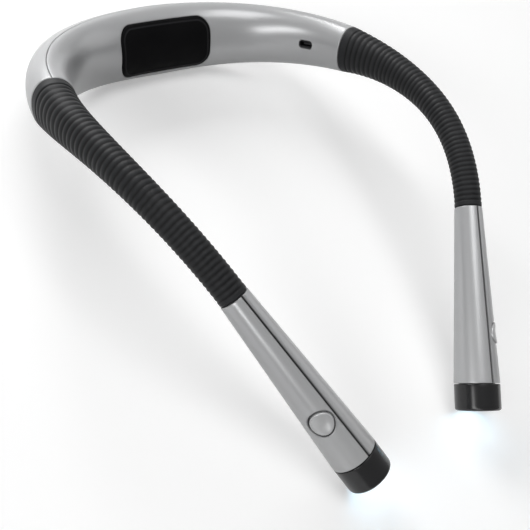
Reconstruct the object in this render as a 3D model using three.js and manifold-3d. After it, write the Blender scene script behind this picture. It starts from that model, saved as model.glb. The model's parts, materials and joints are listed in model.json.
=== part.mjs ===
// A neck reading light: a stiff band that lies behind the neck, two bendable arms in ribbed sleeves,
// and a lamp head at the end of each arm. Millimetres, +Z up.
// The light stands as it is laid down after use: on the middle of its band and the rims of both lamps.
// Sections are drawn with x away from the neck, y up and z along the light, from the band to a lamp.
import * as THREE from "three";
import { mergeVertices } from "three/addons/utils/BufferGeometryUtils.js";
import Module from "manifold-3d";

const wasm = await Module();
wasm.setup();

// Lengths along the centre line, from the middle of the band to the face of a lamp
const BAND_HALF = 102.8;
const ARM_LENGTH = 111.1;
const HEAD_LENGTH = 72.1;
const CAP_LENGTH = 10.6;

// How fast the centre line turns round the neck and dips, in degrees over the length of its stretch
const BAND_TURN_DEGREES = [28.4, 75.1, 102, 90.5, 66.7];
const ARM_TURN_DEGREES = [63.5, 27.6, 47.6, 53.5];
const BAND_DIP_DEGREES = [0, 0, -7.6];
const ARM_DIP_DEGREES = [-13.3, -37.5, -71.5, -53.2];
const WALK_STEPS = 160;

// Half sizes of the band's and the arms' sections, and how square they are: 2 is an ellipse
const BAND_MIDDLE_WIDE = 10.1;
const BAND_MIDDLE_HIGH = 16.2;
const BAND_END_WIDE = 8.7;
const BAND_END_HIGH = 10.8;
const SLEEVE_END_R = 5.5;
const BAND_SQUARE_POWER = 2.2;
const ROUND_POWER = 2;
const BAND_TAPER_POWER = 1.4;
const ARM_TAPER_POWER = 2.7;

// Clearances
const GAP = 0.3;
const BALL_PLAY = 0.2;
const SLEEVE_PLAY = 0.5;
const OVERRUN = 4;
const WELD = 1e-4;

// Band shells
const OUTER_WALL = 1.6;
const INNER_WALL = 2.4;
const BAND_STEPS = 24;
const SHELL_ARC_STEPS = 12;
const FOOT_DEPTH = 0.35;

// Battery cell, a flat pouch that stands on edge
const CELL_THICK = 10;
const CELL_HIGH = 20;
const CELL_LENGTH = 38;
const CELL_CORNER = 2.5;
const CELL_SHIFT = -0.2;

// Screws beyond the cell's ends hold the shells together under the pad
const CELL_TO_SCREW = 4.2;
const SCREW_PLACE = CELL_LENGTH / 2 + CELL_TO_SCREW;

// Neck pad, let into the inner shell over the screws, with heights on the section and depths
const SCREW_TO_PAD_END = 3;
const PAD_HALF_LENGTH = SCREW_PLACE + SCREW_TO_PAD_END;
const PAD_TOP = 11.4;
const PAD_BOTTOM = -12.8;
const PAD_CORNER = 6;
const PAD_PROUD = 0.6;
const RECESS_DEPTH = 1.4;
const PAD_STATION_SHARES = [-1, -0.97, -0.9, -0.78, -0.4, 0, 0.4, 0.78, 0.9, 0.97, 1];
const PAD_ARC_STEPS = 8;

// Band screws and their bosses
const SCREW_SHANK_R = 1;
const SCREW_SHANK_LENGTH = 7;
const SCREW_HEAD_R = 1.9;
const SCREW_HEAD_HIGH = 1.15;
const SCREW_SINK = 0.15;
const DRIVER_SIDES = 6;
const OUTER_BOSS_R = 2.5;
const INNER_BOSS_R = 3.1;
const BOSS_MEETS = -4;

// Control board and charge socket, near the right end of the band
const BOARD_TO_BAND_END = 22.3;
const BOARD_PLACE = BAND_HALF - BOARD_TO_BAND_END;
const BOARD_LENGTH = 16;
const BOARD_THICK = 1.2;
const BOARD_INNER_EDGE = -6.2;
const BOARD_OUTER_EDGE = 5.6;
const CHIP_HIGH = 1.1;
const CHIP_LONG = 4;
const CHIP_WIDE = 3.4;
const SOCKET_SHIFT = 2;
const SOCKET_WIDE = 7.4;
const SOCKET_HIGH = 2.8;
const SOCKET_DEEP = 5.6;
const SOCKET_WALL = 0.35;
const SOCKET_TONGUE_WIDE = 3.8;
const SOCKET_TONGUE_HIGH = 0.7;
const PORT_WIDE = 7.6;
const PORT_HIGH = 3.8;
const PORT_SINK = 1.1;

// Gooseneck core: ball and socket links, whose balls shrink towards the head
const JOINTS = 6;
const BALL_SHARE = 0.47;
const CUP_WALL = 0.9;
const CUP_FLOOR = 1;
const NECK_SHARE = 0.4;
const MOUTH_ANGLE = THREE.MathUtils.degToRad(60);
const MOST_TILT = THREE.MathUtils.degToRad(35);
const BORE_R = 0.9;
const FLARE_ANGLE = THREE.MathUtils.degToRad(24);
const LINK_SIDES = 12;
const BALL_ARC_STEP = THREE.MathUtils.degToRad(22.5);
const ROOT_BACK = 4;
const ROOT_FLANGE_THICK = 3;
const ROOT_FLANGE_PLAY = 0.7;
const ROOT_STEM_R = 4.4;
const STEM_IN_HEAD = 10;

// Ribbed sleeves: one stretch of ribs over each joint, with a smooth cuff at both ends of the arm
const RIBS_PER_STRETCH = 7;
const RIB_DEPTH_SHARE = 0.07;
const SLEEVE_SIDES = 8;
const BAND_CUFF = 4.5;
const HEAD_CUFF = 2.3;

// Lamp heads: two half shells that part along a line round the head from outwards
const HEAD_ROOT_R = 5.5;
const HEAD_END_R = 9;
const HEAD_WALL = 1.4;
const PARTING_ANGLE = THREE.MathUtils.degToRad(65);
const HEAD_ARC_STEPS = 12;

// Button, switch and switch board, with heights from the head's axis
const BUTTON_ANGLE = THREE.MathUtils.degToRad(20);
const BUTTON_TO_HEAD_END = 20.1;
const BUTTON_PLACE = HEAD_LENGTH - BUTTON_TO_HEAD_END;
const BUTTON_R = 4.3;
const BUTTON_PROUD = 0.5;
const BUTTON_WELL_PLAY = 0.5;
const FLANGE_R = 5.2;
const FLANGE_THICK = 0.8;
const BUTTON_TRAVEL = 0.6;
const PLUNGER_R = 1.4;
const SWITCH_BOARD_BASE = 0.6;
const SWITCH_BOARD_THICK = 1;
const SWITCH_BOARD_WIDE = 9.4;
const SWITCH_BOARD_LONG = 15;
const SWITCH_WIDE = 4.4;
const SWITCH_HIGH = 1.5;
const SWITCH_STEM_R = 1;
const SWITCH_STEM_HIGH = 0.6;
const FINE_SIDES = 24;

// Lamp end: cap, lens, reflector and light source
const CAP_PROUD = 0.1;
const CAP_EDGE = 1;
const SPIGOT_LENGTH = 4;
const SPIGOT_WALL = 0.8;
const LENS_R = 7;
const LENS_THICK = 1.6;
const LENS_SINK = 0.5;
const LENS_DOME = 0.4;
const REFLECTOR_WALL = 0.7;
const REFLECTOR_THROAT_R = 2.6;
const LED_BOARD_THICK = 1.2;
const LED_BOARD_SINK = 0.8;
const EMITTER_R = 2.1;
const EMITTER_HIGH = 0.7;
const CAP_SIDES = 20;

// Leads: insulated wires from the control board to the battery and to both lamps
const ARM_LEAD_R = 0.5;
const BATTERY_LEAD_R = 0.8;
const LEAD_SIDES = 6;
const LEAD_ONTO_BOARD = 2;
const BATTERY_LEAD_ASIDE = 2;
const LEAD_UNDER_SWITCH = 2.4;
const LEAD_CLIMB_SHARES = [0.58, 0.5];
const LEAD_FALL_SHARES = [0.62, 0.7];
const BATTERY_LEAD_SHARES = [0.33, 0.5, 0.63];
const PORT_CURVE_STEPS = 4;
const SOCKET_CURVE_STEPS = 3;
const CELL_CURVE_STEPS = 3;

// Materials
const FINISHES = {
  silver: { color: 0xb9bbbd, roughness: 0.34, metalness: 0.55 },
  rubber: { color: 0x1c1d1e, roughness: 0.72, metalness: 0 },
  gloss: { color: 0x0c0c0d, roughness: 0.12, metalness: 0 },
  nylon: { color: 0x3a3c3f, roughness: 0.5, metalness: 0 },
  steel: { color: 0x9a9c9f, roughness: 0.3, metalness: 1 },
  chrome: { color: 0xe4e6e8, roughness: 0.08, metalness: 1 },
  board: { color: 0x1d5a38, roughness: 0.5, metalness: 0 },
  cell: { color: 0x8f9ba8, roughness: 0.4, metalness: 0.3 },
  lens: { color: 0xe6f6ff, roughness: 0.1, metalness: 0, transparent: true, opacity: 0.5 },
  emitter: { color: 0xf3e58a, roughness: 0.4, metalness: 0 },
  insulation: { color: 0xa02020, roughness: 0.5, metalness: 0 },
};
const materials = Object.fromEntries(
  Object.entries(FINISHES).map(([name, values]) => [name, new THREE.MeshStandardMaterial(values)]),
);

// A value between evenly spaced ones.
function spreadAt(values, share) {
  const place = share * (values.length - 1);
  const low = Math.min(Math.floor(place), values.length - 2);
  return THREE.MathUtils.lerp(values[low], values[low + 1], place - low);
}

// Evenly spaced numbers, both ends included.
function evenly(from, to, steps) {
  return Array.from({ length: steps + 1 }, (_, i) => THREE.MathUtils.lerp(from, to, i / steps));
}

// The unit direction for a turn round the neck and a dip, in degrees.
function heading(turn, dip) {
  const a = THREE.MathUtils.degToRad(turn);
  const b = THREE.MathUtils.degToRad(dip);
  return new THREE.Vector3(Math.cos(a) * Math.cos(b), -Math.sin(a) * Math.cos(b), Math.sin(b));
}

// The centre line of the right half, walked in small steps from the middle of the band to the head.
function walkCentreLine() {
  const line = [{ p: new THREE.Vector3(), turn: 0, dip: 0 }];
  const stretches = [
    [BAND_HALF, BAND_TURN_DEGREES, BAND_DIP_DEGREES],
    [ARM_LENGTH, ARM_TURN_DEGREES, ARM_DIP_DEGREES],
  ];
  for (const [length, turns, dips] of stretches) {
    for (let i = 0; i < WALK_STEPS; i++) {
      const last = line[line.length - 1];
      const share = (i + 0.5) / WALK_STEPS;
      const turn = last.turn + spreadAt(turns, share) / WALK_STEPS;
      const dip = last.dip + spreadAt(dips, share) / WALK_STEPS;
      const ahead = heading((last.turn + turn) / 2, (last.dip + dip) / 2);
      line.push({ p: last.p.clone().addScaledVector(ahead, length / WALK_STEPS), turn, dip });
    }
  }
  return line;
}
const CENTRE_LINE = walkCentreLine();

// Place, outwards, up and ahead at a distance along the centre line. Left of the middle it is negative.
function frameAt(s) {
  const along = Math.abs(s);
  const bent = Math.min(along, BAND_HALF + ARM_LENGTH);
  const share = bent < BAND_HALF ? bent / BAND_HALF : 1 + (bent - BAND_HALF) / ARM_LENGTH;
  const low = Math.min(Math.floor(share * WALK_STEPS), CENTRE_LINE.length - 2);
  const mix = share * WALK_STEPS - low;
  const [a, b] = [CENTRE_LINE[low], CENTRE_LINE[low + 1]];
  const turn = THREE.MathUtils.lerp(a.turn, b.turn, mix);
  const ahead = heading(turn, THREE.MathUtils.lerp(a.dip, b.dip, mix));
  const p = a.p.clone().lerp(b.p, mix).addScaledVector(ahead, along - bent);
  const radians = THREE.MathUtils.degToRad(turn);
  const out = new THREE.Vector3(Math.sin(radians), Math.cos(radians), 0);
  const up = ahead.clone().cross(out);
  if (s < 0) {
    p.x *= -1;
    out.x *= -1;
    up.x *= -1;
    ahead.y *= -1;
    ahead.z *= -1;
  }
  return { p, out, up, ahead };
}

// The same as a matrix, for a piece drawn about its own origin.
function matrixOf(frame) {
  return new THREE.Matrix4().makeBasis(frame.out, frame.up, frame.ahead).setPosition(frame.p);
}

// Half sizes and squareness of the section at a distance along the centre line.
function sectionAt(s) {
  const along = Math.abs(s);
  const inBand = Math.min(along / BAND_HALF, 1) ** BAND_TAPER_POWER;
  const armShare = THREE.MathUtils.clamp((along - BAND_HALF) / ARM_LENGTH, 0, 1);
  const inArm = 1 - (1 - armShare) ** ARM_TAPER_POWER;
  const endWide = THREE.MathUtils.lerp(BAND_END_WIDE, SLEEVE_END_R, inArm);
  const endHigh = THREE.MathUtils.lerp(BAND_END_HIGH, SLEEVE_END_R, inArm);
  return {
    wide: THREE.MathUtils.lerp(BAND_MIDDLE_WIDE, endWide, inBand),
    high: THREE.MathUtils.lerp(BAND_MIDDLE_HIGH, endHigh, inBand),
    power: THREE.MathUtils.lerp(BAND_SQUARE_POWER, ROUND_POWER, inArm),
  };
}

// A point on a section's outline, or inside it by an inset.
function outlinePoint(section, angle, inset) {
  const [c, s] = [Math.cos(angle), Math.sin(angle)];
  const bend = 2 / section.power;
  return new THREE.Vector2(
    Math.sign(c) * (section.wide - inset) * Math.abs(c) ** bend,
    Math.sign(s) * (section.high - inset) * Math.abs(s) ** bend,
  );
}

// Turns a geometry's faces outwards, if they point inwards.
function facingOut(geometry) {
  const index = geometry.index.array;
  const [a, b, c] = [new THREE.Vector3(), new THREE.Vector3(), new THREE.Vector3()];
  let volume = 0;
  for (let i = 0; i < index.length; i += 3) {
    a.fromBufferAttribute(geometry.attributes.position, index[i]);
    b.fromBufferAttribute(geometry.attributes.position, index[i + 1]);
    c.fromBufferAttribute(geometry.attributes.position, index[i + 2]);
    volume += a.dot(b.cross(c));
  }
  if (volume < 0) {
    for (let i = 0; i < index.length; i += 3) {
      [index[i + 1], index[i + 2]] = [index[i + 2], index[i + 1]];
    }
  }
  geometry.computeVertexNormals();
  return geometry;
}

// A closed geometry from points and faces.
function fromFaces(points, faces) {
  const geometry = new THREE.BufferGeometry().setFromPoints(points);
  geometry.setIndex(faces);
  return facingOut(geometry);
}

// The faces between two rings of points, which start at two numbers.
function addWall(faces, from, to, count) {
  for (let k = 0; k < count; k++) {
    const next = (k + 1) % count;
    faces.push(from + k, from + next, to + next, from + k, to + next, to + k);
  }
}

// The faces of a flat end over an outline, turned to look along the sweep or back.
function addEnd(faces, outline, from, ahead) {
  for (const [a, b, c] of THREE.ShapeUtils.triangulateShape(outline, [])) {
    const area = THREE.ShapeUtils.area([outline[a], outline[b], outline[c]]);
    faces.push(from + a, ...(area > 0 === ahead ? [from + b, from + c] : [from + c, from + b]));
  }
}

// A solid swept through outlines with equal numbers of points, each in the frame of its station.
function sweep(stations, outlineAt, placeAt = frameAt) {
  const outlines = stations.map((s) => outlineAt(s));
  if (THREE.ShapeUtils.area(outlines[0]) < 0) outlines.forEach((o) => o.reverse());
  const count = outlines[0].length;
  const points = [];
  const faces = [];
  stations.forEach((s, i) => {
    const f = placeAt(s);
    for (const q of outlines[i]) {
      points.push(f.p.clone().addScaledVector(f.out, q.x).addScaledVector(f.up, q.y));
    }
    if (i) addWall(faces, (i - 1) * count, i * count, count);
  });
  addEnd(faces, outlines[0], 0, false);
  addEnd(faces, outlines[stations.length - 1], (stations.length - 1) * count, true);
  return fromFaces(points, faces);
}

// A straight frame along z, for heads.
function straightFrame(z) {
  return {
    p: new THREE.Vector3(0, 0, z),
    out: new THREE.Vector3(1, 0, 0),
    up: new THREE.Vector3(0, 1, 0),
  };
}

// A turned piece about z. Its profile is a closed loop of [radius, z] or starts and ends on the axis.
function turned(profile, sides) {
  const points = profile.map(([r, z]) => new THREE.Vector2(r, z));
  const loop = profile[0][0] > 0 ? [...points, points[0].clone()] : points;
  return facingOut(new THREE.LatheGeometry(loop, sides).rotateX(Math.PI / 2));
}

// A round bar along x, between two places.
function barAlongX(radius, from, to, sides = FINE_SIDES) {
  const bar = new THREE.CylinderGeometry(radius, radius, to - from, sides);
  return bar.rotateZ(Math.PI / 2).translate((from + to) / 2, 0, 0);
}

// A block between two corners.
function block(low, high) {
  const size = high.map((v, i) => v - low[i]);
  return new THREE.BoxGeometry(...size).translate(...low.map((v, i) => v + size[i] / 2));
}

// A rounded rectangle as a shape, centred on its origin.
function roundedShape(width, height, radius) {
  const [x, y] = [width / 2 - radius, height / 2 - radius];
  const shape = new THREE.Shape();
  shape.absarc(x, y, radius, 0, Math.PI / 2);
  shape.absarc(-x, y, radius, Math.PI / 2, Math.PI);
  shape.absarc(-x, -y, radius, Math.PI, Math.PI * 1.5);
  shape.absarc(x, -y, radius, Math.PI * 1.5, Math.PI * 2);
  return shape;
}

// A rounded bar along z, from zero.
function roundedBar(width, height, radius, length, curveSegments) {
  const shape = roundedShape(width, height, radius);
  return new THREE.ExtrudeGeometry(shape, { depth: length, bevelEnabled: false, curveSegments });
}

// A tube along a row of points, mitred at each one.
function tube(points, radius, sides) {
  const rings = [];
  const faces = [];
  let side = new THREE.Vector3(0, 0, 1);
  points.forEach((p, i) => {
    const before = points[Math.max(i - 1, 0)];
    const after = points[Math.min(i + 1, points.length - 1)];
    const along = after.clone().sub(before).normalize();
    side = side.clone().addScaledVector(along, -side.dot(along)).normalize();
    const other = along.clone().cross(side);
    for (let k = 0; k < sides; k++) {
      const a = (k / sides) * Math.PI * 2;
      const arm = side.clone().multiplyScalar(Math.cos(a)).addScaledVector(other, Math.sin(a));
      rings.push(p.clone().addScaledVector(arm, radius));
    }
    if (i) addWall(faces, (i - 1) * sides, i * sides, sides);
  });
  for (let k = 1; k < sides - 1; k++) {
    const last = (points.length - 1) * sides;
    faces.push(0, k + 1, k, last, last + k, last + k + 1);
  }
  return fromFaces(rings, faces);
}

// A closed geometry as a solid for joining and cutting, moved by a matrix if one is given.
function solid(geometry, matrix = new THREE.Matrix4()) {
  const bare = geometry.clone().applyMatrix4(matrix);
  bare.deleteAttribute("normal");
  bare.deleteAttribute("uv");
  const merged = mergeVertices(bare, WELD);
  return new wasm.Manifold(
    new wasm.Mesh({
      numProp: 3,
      vertProperties: merged.attributes.position.array,
      triVerts: new Uint32Array(merged.index.array),
    }),
  );
}

// A solid as a geometry.
function geometryOf(joined) {
  const mesh = joined.getMesh();
  const geometry = new THREE.BufferGeometry();
  geometry.setAttribute("position", new THREE.BufferAttribute(mesh.vertProperties, mesh.numProp));
  geometry.setIndex(new THREE.BufferAttribute(mesh.triVerts, 1));
  geometry.computeVertexNormals();
  return geometry;
}

// Adds a named piece to a group.
function add(group, name, geometry, finish, matrix) {
  const mesh = new THREE.Mesh(geometry, materials[finish]);
  mesh.name = name;
  if (matrix) matrix.decompose(mesh.position, mesh.quaternion, mesh.scale);
  group.add(mesh);
  return mesh;
}

// Band: outer and inner shell

// One half of the band's section, as a wall: side 1 faces away from the neck and -1 towards it.
function shellOutline(s, side, wall) {
  const section = sectionAt(s);
  const middle = side > 0 ? 0 : Math.PI;
  const angles = evenly(middle - Math.PI / 2, middle + Math.PI / 2, SHELL_ARC_STEPS);
  const shift = new THREE.Vector2((side * GAP) / 2, 0);
  return [
    ...angles.map((a) => outlinePoint(section, a, 0).add(shift)),
    ...angles.reverse().map((a) => outlinePoint(section, a, wall).add(shift)),
  ];
}

const BAND_STATIONS = evenly(GAP / 2 - BAND_HALF, BAND_HALF - GAP / 2, BAND_STEPS);
const shellSweep = (side, wall) => solid(sweep(BAND_STATIONS, (s) => shellOutline(s, side, wall)));

// A strip of the inner face between two heights and two depths under the surface.
function stripOutline(s, bottom, top, outerInset, innerInset) {
  const section = sectionAt(s);
  const heights = evenly(bottom, top, PAD_ARC_STEPS);
  const pointAt = (y, inset) => {
    const share = Math.min(Math.abs(y) / (section.high - inset), 1);
    const x = (1 - share ** section.power) ** (1 / section.power);
    return new THREE.Vector2(-(section.wide - inset) * x, y);
  };
  return [
    ...heights.map((y) => pointAt(y, outerInset)),
    ...heights.reverse().map((y) => pointAt(y, innerInset)),
  ];
}

// The pad's form with its round corners, grown all round for the recess that takes it.
function padForm(grow, outerInset, innerInset) {
  const half = PAD_HALF_LENGTH + grow;
  return sweep(
    PAD_STATION_SHARES.map((share) => share * half),
    (s) => {
      const past = Math.max(Math.abs(s) - half + PAD_CORNER, 0);
      const cut = PAD_CORNER - Math.sqrt(Math.max(PAD_CORNER ** 2 - past ** 2, 0));
      return stripOutline(s, PAD_BOTTOM - grow + cut, PAD_TOP + grow - cut, outerInset, innerInset);
    },
  );
}

// Where the recess's floor lies under a screw.
const RECESS_FLOOR = RECESS_DEPTH - sectionAt(SCREW_PLACE).wide;
const BORE_PLAY_R = SCREW_SHANK_R + GAP;
const SCREW_STARTS = RECESS_FLOOR + SCREW_SINK;
const SCREW_SEAT = SCREW_STARTS + SCREW_HEAD_HIGH;
const SCREW_TIP = SCREW_SEAT + SCREW_SHANK_LENGTH;
const screwFrames = [SCREW_PLACE, -SCREW_PLACE].map((s) => matrixOf(frameAt(s)));

// How far the band is tilted back so that its underside and both lamp rims touch one level.
const LAMP_FACE_PLACE = BAND_HALF + ARM_LENGTH + HEAD_LENGTH + CAP_LENGTH;
const CAP_R = HEAD_END_R + CAP_PROUD;

// The rounded edge of the lamp's cap, as radius and distance behind the face.
const CAP_EDGE_PROFILE = [
  [CAP_R, CAP_EDGE],
  [CAP_R - CAP_EDGE * (1 - Math.SQRT1_2), CAP_EDGE * (1 - Math.SQRT1_2)],
  [CAP_R - CAP_EDGE, 0],
];

function lowestOf(points, tilt) {
  return Math.min(...points.map((p) => p.y * Math.sin(tilt) + p.z * Math.cos(tilt)));
}

function ringPoints(s, pointAt) {
  const f = frameAt(s);
  return evenly(0, Math.PI * 2, WALK_STEPS).map((a) => {
    const q = pointAt(a);
    return f.p.clone().addScaledVector(f.out, q.x).addScaledVector(f.up, q.y);
  });
}

function restTilt() {
  const band = ringPoints(0, (a) => outlinePoint(sectionAt(0), a, 0));
  const rim = CAP_EDGE_PROFILE.flatMap(([r, back]) =>
    ringPoints(LAMP_FACE_PLACE - back, (a) => new THREE.Vector2(r * Math.cos(a), r * Math.sin(a))),
  );
  let [low, high] = [-Math.PI / 2, 0];
  for (let i = 0; i < WALK_STEPS; i++) {
    const tilt = (low + high) / 2;
    const bandHigher = lowestOf(band, tilt) + FOOT_DEPTH > lowestOf(rim, tilt);
    if (bandHigher) high = tilt;
    else low = tilt;
  }
  return { tilt: low, floor: lowestOf(rim, low) };
}
const REST = restTilt();

// The level that the light stands on, as a slab in the band's own frame.
function floorSlab() {
  const slab = block([-BAND_HALF, -BAND_HALF, -BAND_HALF], [BAND_HALF, BAND_HALF, 0]);
  slab.translate(0, 0, REST.floor).rotateX(-REST.tilt);
  return solid(slab);
}

function outerShell() {
  let shell = shellSweep(1, OUTER_WALL);
  for (const m of screwFrames) {
    const wallMiddle = sectionAt(SCREW_PLACE).wide - OUTER_WALL / 2;
    shell = shell.add(solid(barAlongX(OUTER_BOSS_R, BOSS_MEETS + GAP, wallMiddle), m));
    shell = shell.subtract(solid(barAlongX(BORE_PLAY_R, BOSS_MEETS - OVERRUN, SCREW_TIP + GAP), m));
  }
  return geometryOf(shell.subtract(floorSlab()));
}

function innerShell() {
  let shell = shellSweep(-1, INNER_WALL);
  for (const m of screwFrames) {
    const wallMiddle = INNER_WALL / 2 - sectionAt(SCREW_PLACE).wide;
    shell = shell.add(solid(barAlongX(INNER_BOSS_R, wallMiddle, BOSS_MEETS), m));
  }
  shell = shell.subtract(solid(padForm(GAP, -OVERRUN, RECESS_DEPTH)));
  for (const m of screwFrames) {
    const mouth = RECESS_FLOOR - OVERRUN;
    shell = shell.subtract(solid(barAlongX(SCREW_HEAD_R + GAP, mouth, SCREW_SEAT + GAP), m));
    shell = shell.subtract(solid(barAlongX(BORE_PLAY_R, mouth, BOSS_MEETS + OVERRUN), m));
  }
  const port = roundedBar(PORT_WIDE, PORT_HIGH, PORT_HIGH / 2 - GAP, BAND_MIDDLE_WIDE, PORT_CURVE_STEPS);
  port.rotateY(-Math.PI / 2).translate(BOARD_INNER_EDGE + GAP, 0, SOCKET_SHIFT);
  return geometryOf(shell.subtract(solid(port, boardMatrix)));
}

// Control board and charge socket, drawn in the frame of the board's place
const boardMatrix = matrixOf(frameAt(BOARD_PLACE));
const BOARD_TOP = -SOCKET_HIGH / 2 - GAP;

function controlBoard() {
  const half = BOARD_LENGTH / 2;
  const low = [BOARD_INNER_EDGE, BOARD_TOP - BOARD_THICK, -half];
  const plate = solid(block(low, [BOARD_OUTER_EDGE, BOARD_TOP, half]));
  const under = BOARD_TOP - BOARD_THICK;
  const chips = [-1, 0, 1].map((place) => {
    const z = (place * BOARD_LENGTH) / 3;
    const x = -place * GAP;
    const a = [x - CHIP_WIDE / 2, under - CHIP_HIGH, z - CHIP_LONG / 2];
    return solid(block(a, [x + CHIP_WIDE / 2, BOARD_TOP - BOARD_THICK / 2, z + CHIP_LONG / 2]));
  });
  return geometryOf(chips.reduce((all, chip) => all.add(chip), plate));
}

function chargeSocket() {
  const mouth = PORT_SINK - sectionAt(BOARD_PLACE).wide;
  const corner = SOCKET_HIGH / 3;
  const inner = [SOCKET_WIDE - 2 * SOCKET_WALL, SOCKET_HIGH - 2 * SOCKET_WALL, corner - SOCKET_WALL];
  const outer = solid(roundedBar(SOCKET_WIDE, SOCKET_HIGH, corner, SOCKET_DEEP, SOCKET_CURVE_STEPS));
  const hollow = roundedBar(...inner, SOCKET_DEEP, SOCKET_CURVE_STEPS).translate(0, 0, SOCKET_WALL * 2);
  const tongueHalf = SOCKET_TONGUE_WIDE / 2;
  const tongue = block(
    [-tongueHalf, -SOCKET_TONGUE_HIGH / 2, SOCKET_WALL],
    [tongueHalf, SOCKET_TONGUE_HIGH / 2, SOCKET_DEEP - PORT_SINK],
  );
  const geometry = geometryOf(outer.subtract(solid(hollow)).add(solid(tongue)));
  return geometry.rotateY(-Math.PI / 2).translate(mouth + SOCKET_DEEP, 0, SOCKET_SHIFT);
}

// Screw, with a socket for the driver, along x
function bandScrew() {
  const head = solid(barAlongX(SCREW_HEAD_R, SCREW_STARTS, SCREW_SEAT));
  const shank = solid(barAlongX(SCREW_SHANK_R, SCREW_SEAT - SCREW_SINK, SCREW_TIP, LINK_SIDES));
  const driverEnd = SCREW_STARTS + SCREW_HEAD_HIGH / 2;
  const driver = barAlongX(SCREW_SHANK_R, SCREW_STARTS - OVERRUN, driverEnd, DRIVER_SIDES);
  return geometryOf(head.add(shank).subtract(solid(driver)));
}

// Arms: places of the joints

// Each stretch of sleeve is as long as it is thick by one ratio, and has its joint at its middle.
const STRETCH_RATIO = (SLEEVE_END_R / ((BAND_END_WIDE + BAND_END_HIGH) / 2)) ** (1 / JOINTS);

function stretchEnd(k) {
  const share = (1 - STRETCH_RATIO ** k) / (1 - STRETCH_RATIO ** JOINTS);
  return BAND_HALF + ARM_LENGTH * share;
}

function pivotPlace(k) {
  return (stretchEnd(k - 1) + stretchEnd(k)) / 2;
}

// The head's own frame, and how far behind it the last pivot lies on its axis.
const headFrame = frameAt(BAND_HALF + ARM_LENGTH);
const LAST_PIVOT_BACK = BAND_HALF + ARM_LENGTH - pivotPlace(JOINTS);

// Pivots, from the flange in the band, as number 0, to the one behind the head.
const PIVOTS = Array.from({ length: JOINTS + 1 }, (_, k) => {
  if (k === 0) return frameAt(BAND_HALF - ROOT_BACK).p;
  if (k < JOINTS) return frameAt(pivotPlace(k)).p;
  return headFrame.p.clone().addScaledVector(headFrame.ahead, -LAST_PIVOT_BACK);
});

// The frame of a link, whose z runs from its own pivot to the next.
function linkFrame(k) {
  if (k === JOINTS) return { ...headFrame, p: PIVOTS[k] };
  const ahead = PIVOTS[k + 1].clone().sub(PIVOTS[k]).normalize();
  const near = frameAt(k ? pivotPlace(k) : BAND_HALF - ROOT_BACK).out;
  const out = near.addScaledVector(ahead, -near.dot(ahead)).normalize();
  return { p: PIVOTS[k], out, up: ahead.clone().cross(out), ahead };
}

// Sizes of a joint. A faceted cup is drawn wide enough for its flats to clear the ball.
const FACET_SHARE = Math.cos(Math.PI / LINK_SIDES) * Math.cos(BALL_ARC_STEP / 2);

function jointSizes(k) {
  const ball = sectionAt(pivotPlace(k)).wide * BALL_SHARE;
  const cup = (ball + BALL_PLAY) / FACET_SHARE;
  const outside = cup + CUP_WALL;
  const rim = cup * Math.cos(MOUTH_ANGLE);
  const reach = rim * Math.cos(MOST_TILT) + outside * Math.sin(MOST_TILT) + GAP;
  return { ball, cup, outside, rim, reach, neck: ball * NECK_SHARE };
}

// Points on an arc about a place on the axis, by angle from the axis ahead.
function arcPoints(radius, z, from, to) {
  const steps = Math.max(Math.round(Math.abs(to - from) / BALL_ARC_STEP), 1);
  return evenly(from, to, steps).map((a) => [radius * Math.sin(a), z + radius * Math.cos(a)]);
}

// The neck and flared ball at the far end of a link, from its shoulder to the start of its bore.
function ballProfile(next, length, shoulderR) {
  const behind = Math.PI - Math.asin(NECK_SHARE);
  let mouth = FLARE_ANGLE;
  while (next.ball * Math.sin(mouth) < BORE_R + next.ball * Math.cos(mouth) * Math.tan(FLARE_ANGLE)) {
    mouth += BALL_ARC_STEP / LINK_SIDES;
  }
  return [
    [shoulderR, length - next.reach - (shoulderR - next.neck) / 2],
    [next.neck, length - next.reach],
    ...arcPoints(next.ball, length, behind, mouth),
    [BORE_R, length],
  ];
}

// The cup round a pivot, from its floor to its rim.
function cupProfile(own) {
  const floor = Math.asin(BORE_R / own.cup);
  return [...arcPoints(own.cup, 0, floor, Math.PI - MOUTH_ANGLE), [own.outside, -own.rim]];
}

function coreLink(k) {
  const [own, next] = [jointSizes(k), jointSizes(k + 1)];
  const length = PIVOTS[k + 1].distanceTo(PIVOTS[k]);
  const shoulder = Math.min(own.outside, next.outside);
  return turned(
    [
      ...cupProfile(own),
      [own.outside, own.cup + CUP_FLOOR],
      ...ballProfile(next, length, shoulder),
    ],
    LINK_SIDES,
  );
}

// The first link is fixed in the band by a flange that fills the shells' hollow.
function rootLink() {
  const frame = linkFrame(0);
  const length = PIVOTS[1].distanceTo(PIVOTS[0]);
  const stem = turned(
    [[BORE_R, 0], [ROOT_STEM_R, 0], ...ballProfile(jointSizes(1), length, ROOT_STEM_R)],
    LINK_SIDES,
  );
  const half = ROOT_FLANGE_THICK / 2;
  const middle = BAND_HALF - ROOT_BACK;
  const flange = sweep([middle - half, middle + half], (s) => {
    const section = sectionAt(s);
    return evenly(0, Math.PI * 2, FINE_SIDES).slice(0, -1).map((a) => {
      const wall = Math.cos(a) < -WELD ? INNER_WALL : OUTER_WALL;
      return outlinePoint(section, a, wall + ROOT_FLANGE_PLAY);
    });
  });
  const bore = barAlongX(BORE_R, -OVERRUN, OVERRUN, LINK_SIDES).rotateY(-Math.PI / 2);
  const joined = solid(flange).add(solid(stem, matrixOf(frame)));
  return geometryOf(joined.subtract(solid(bore, matrixOf(frame))));
}

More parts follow.
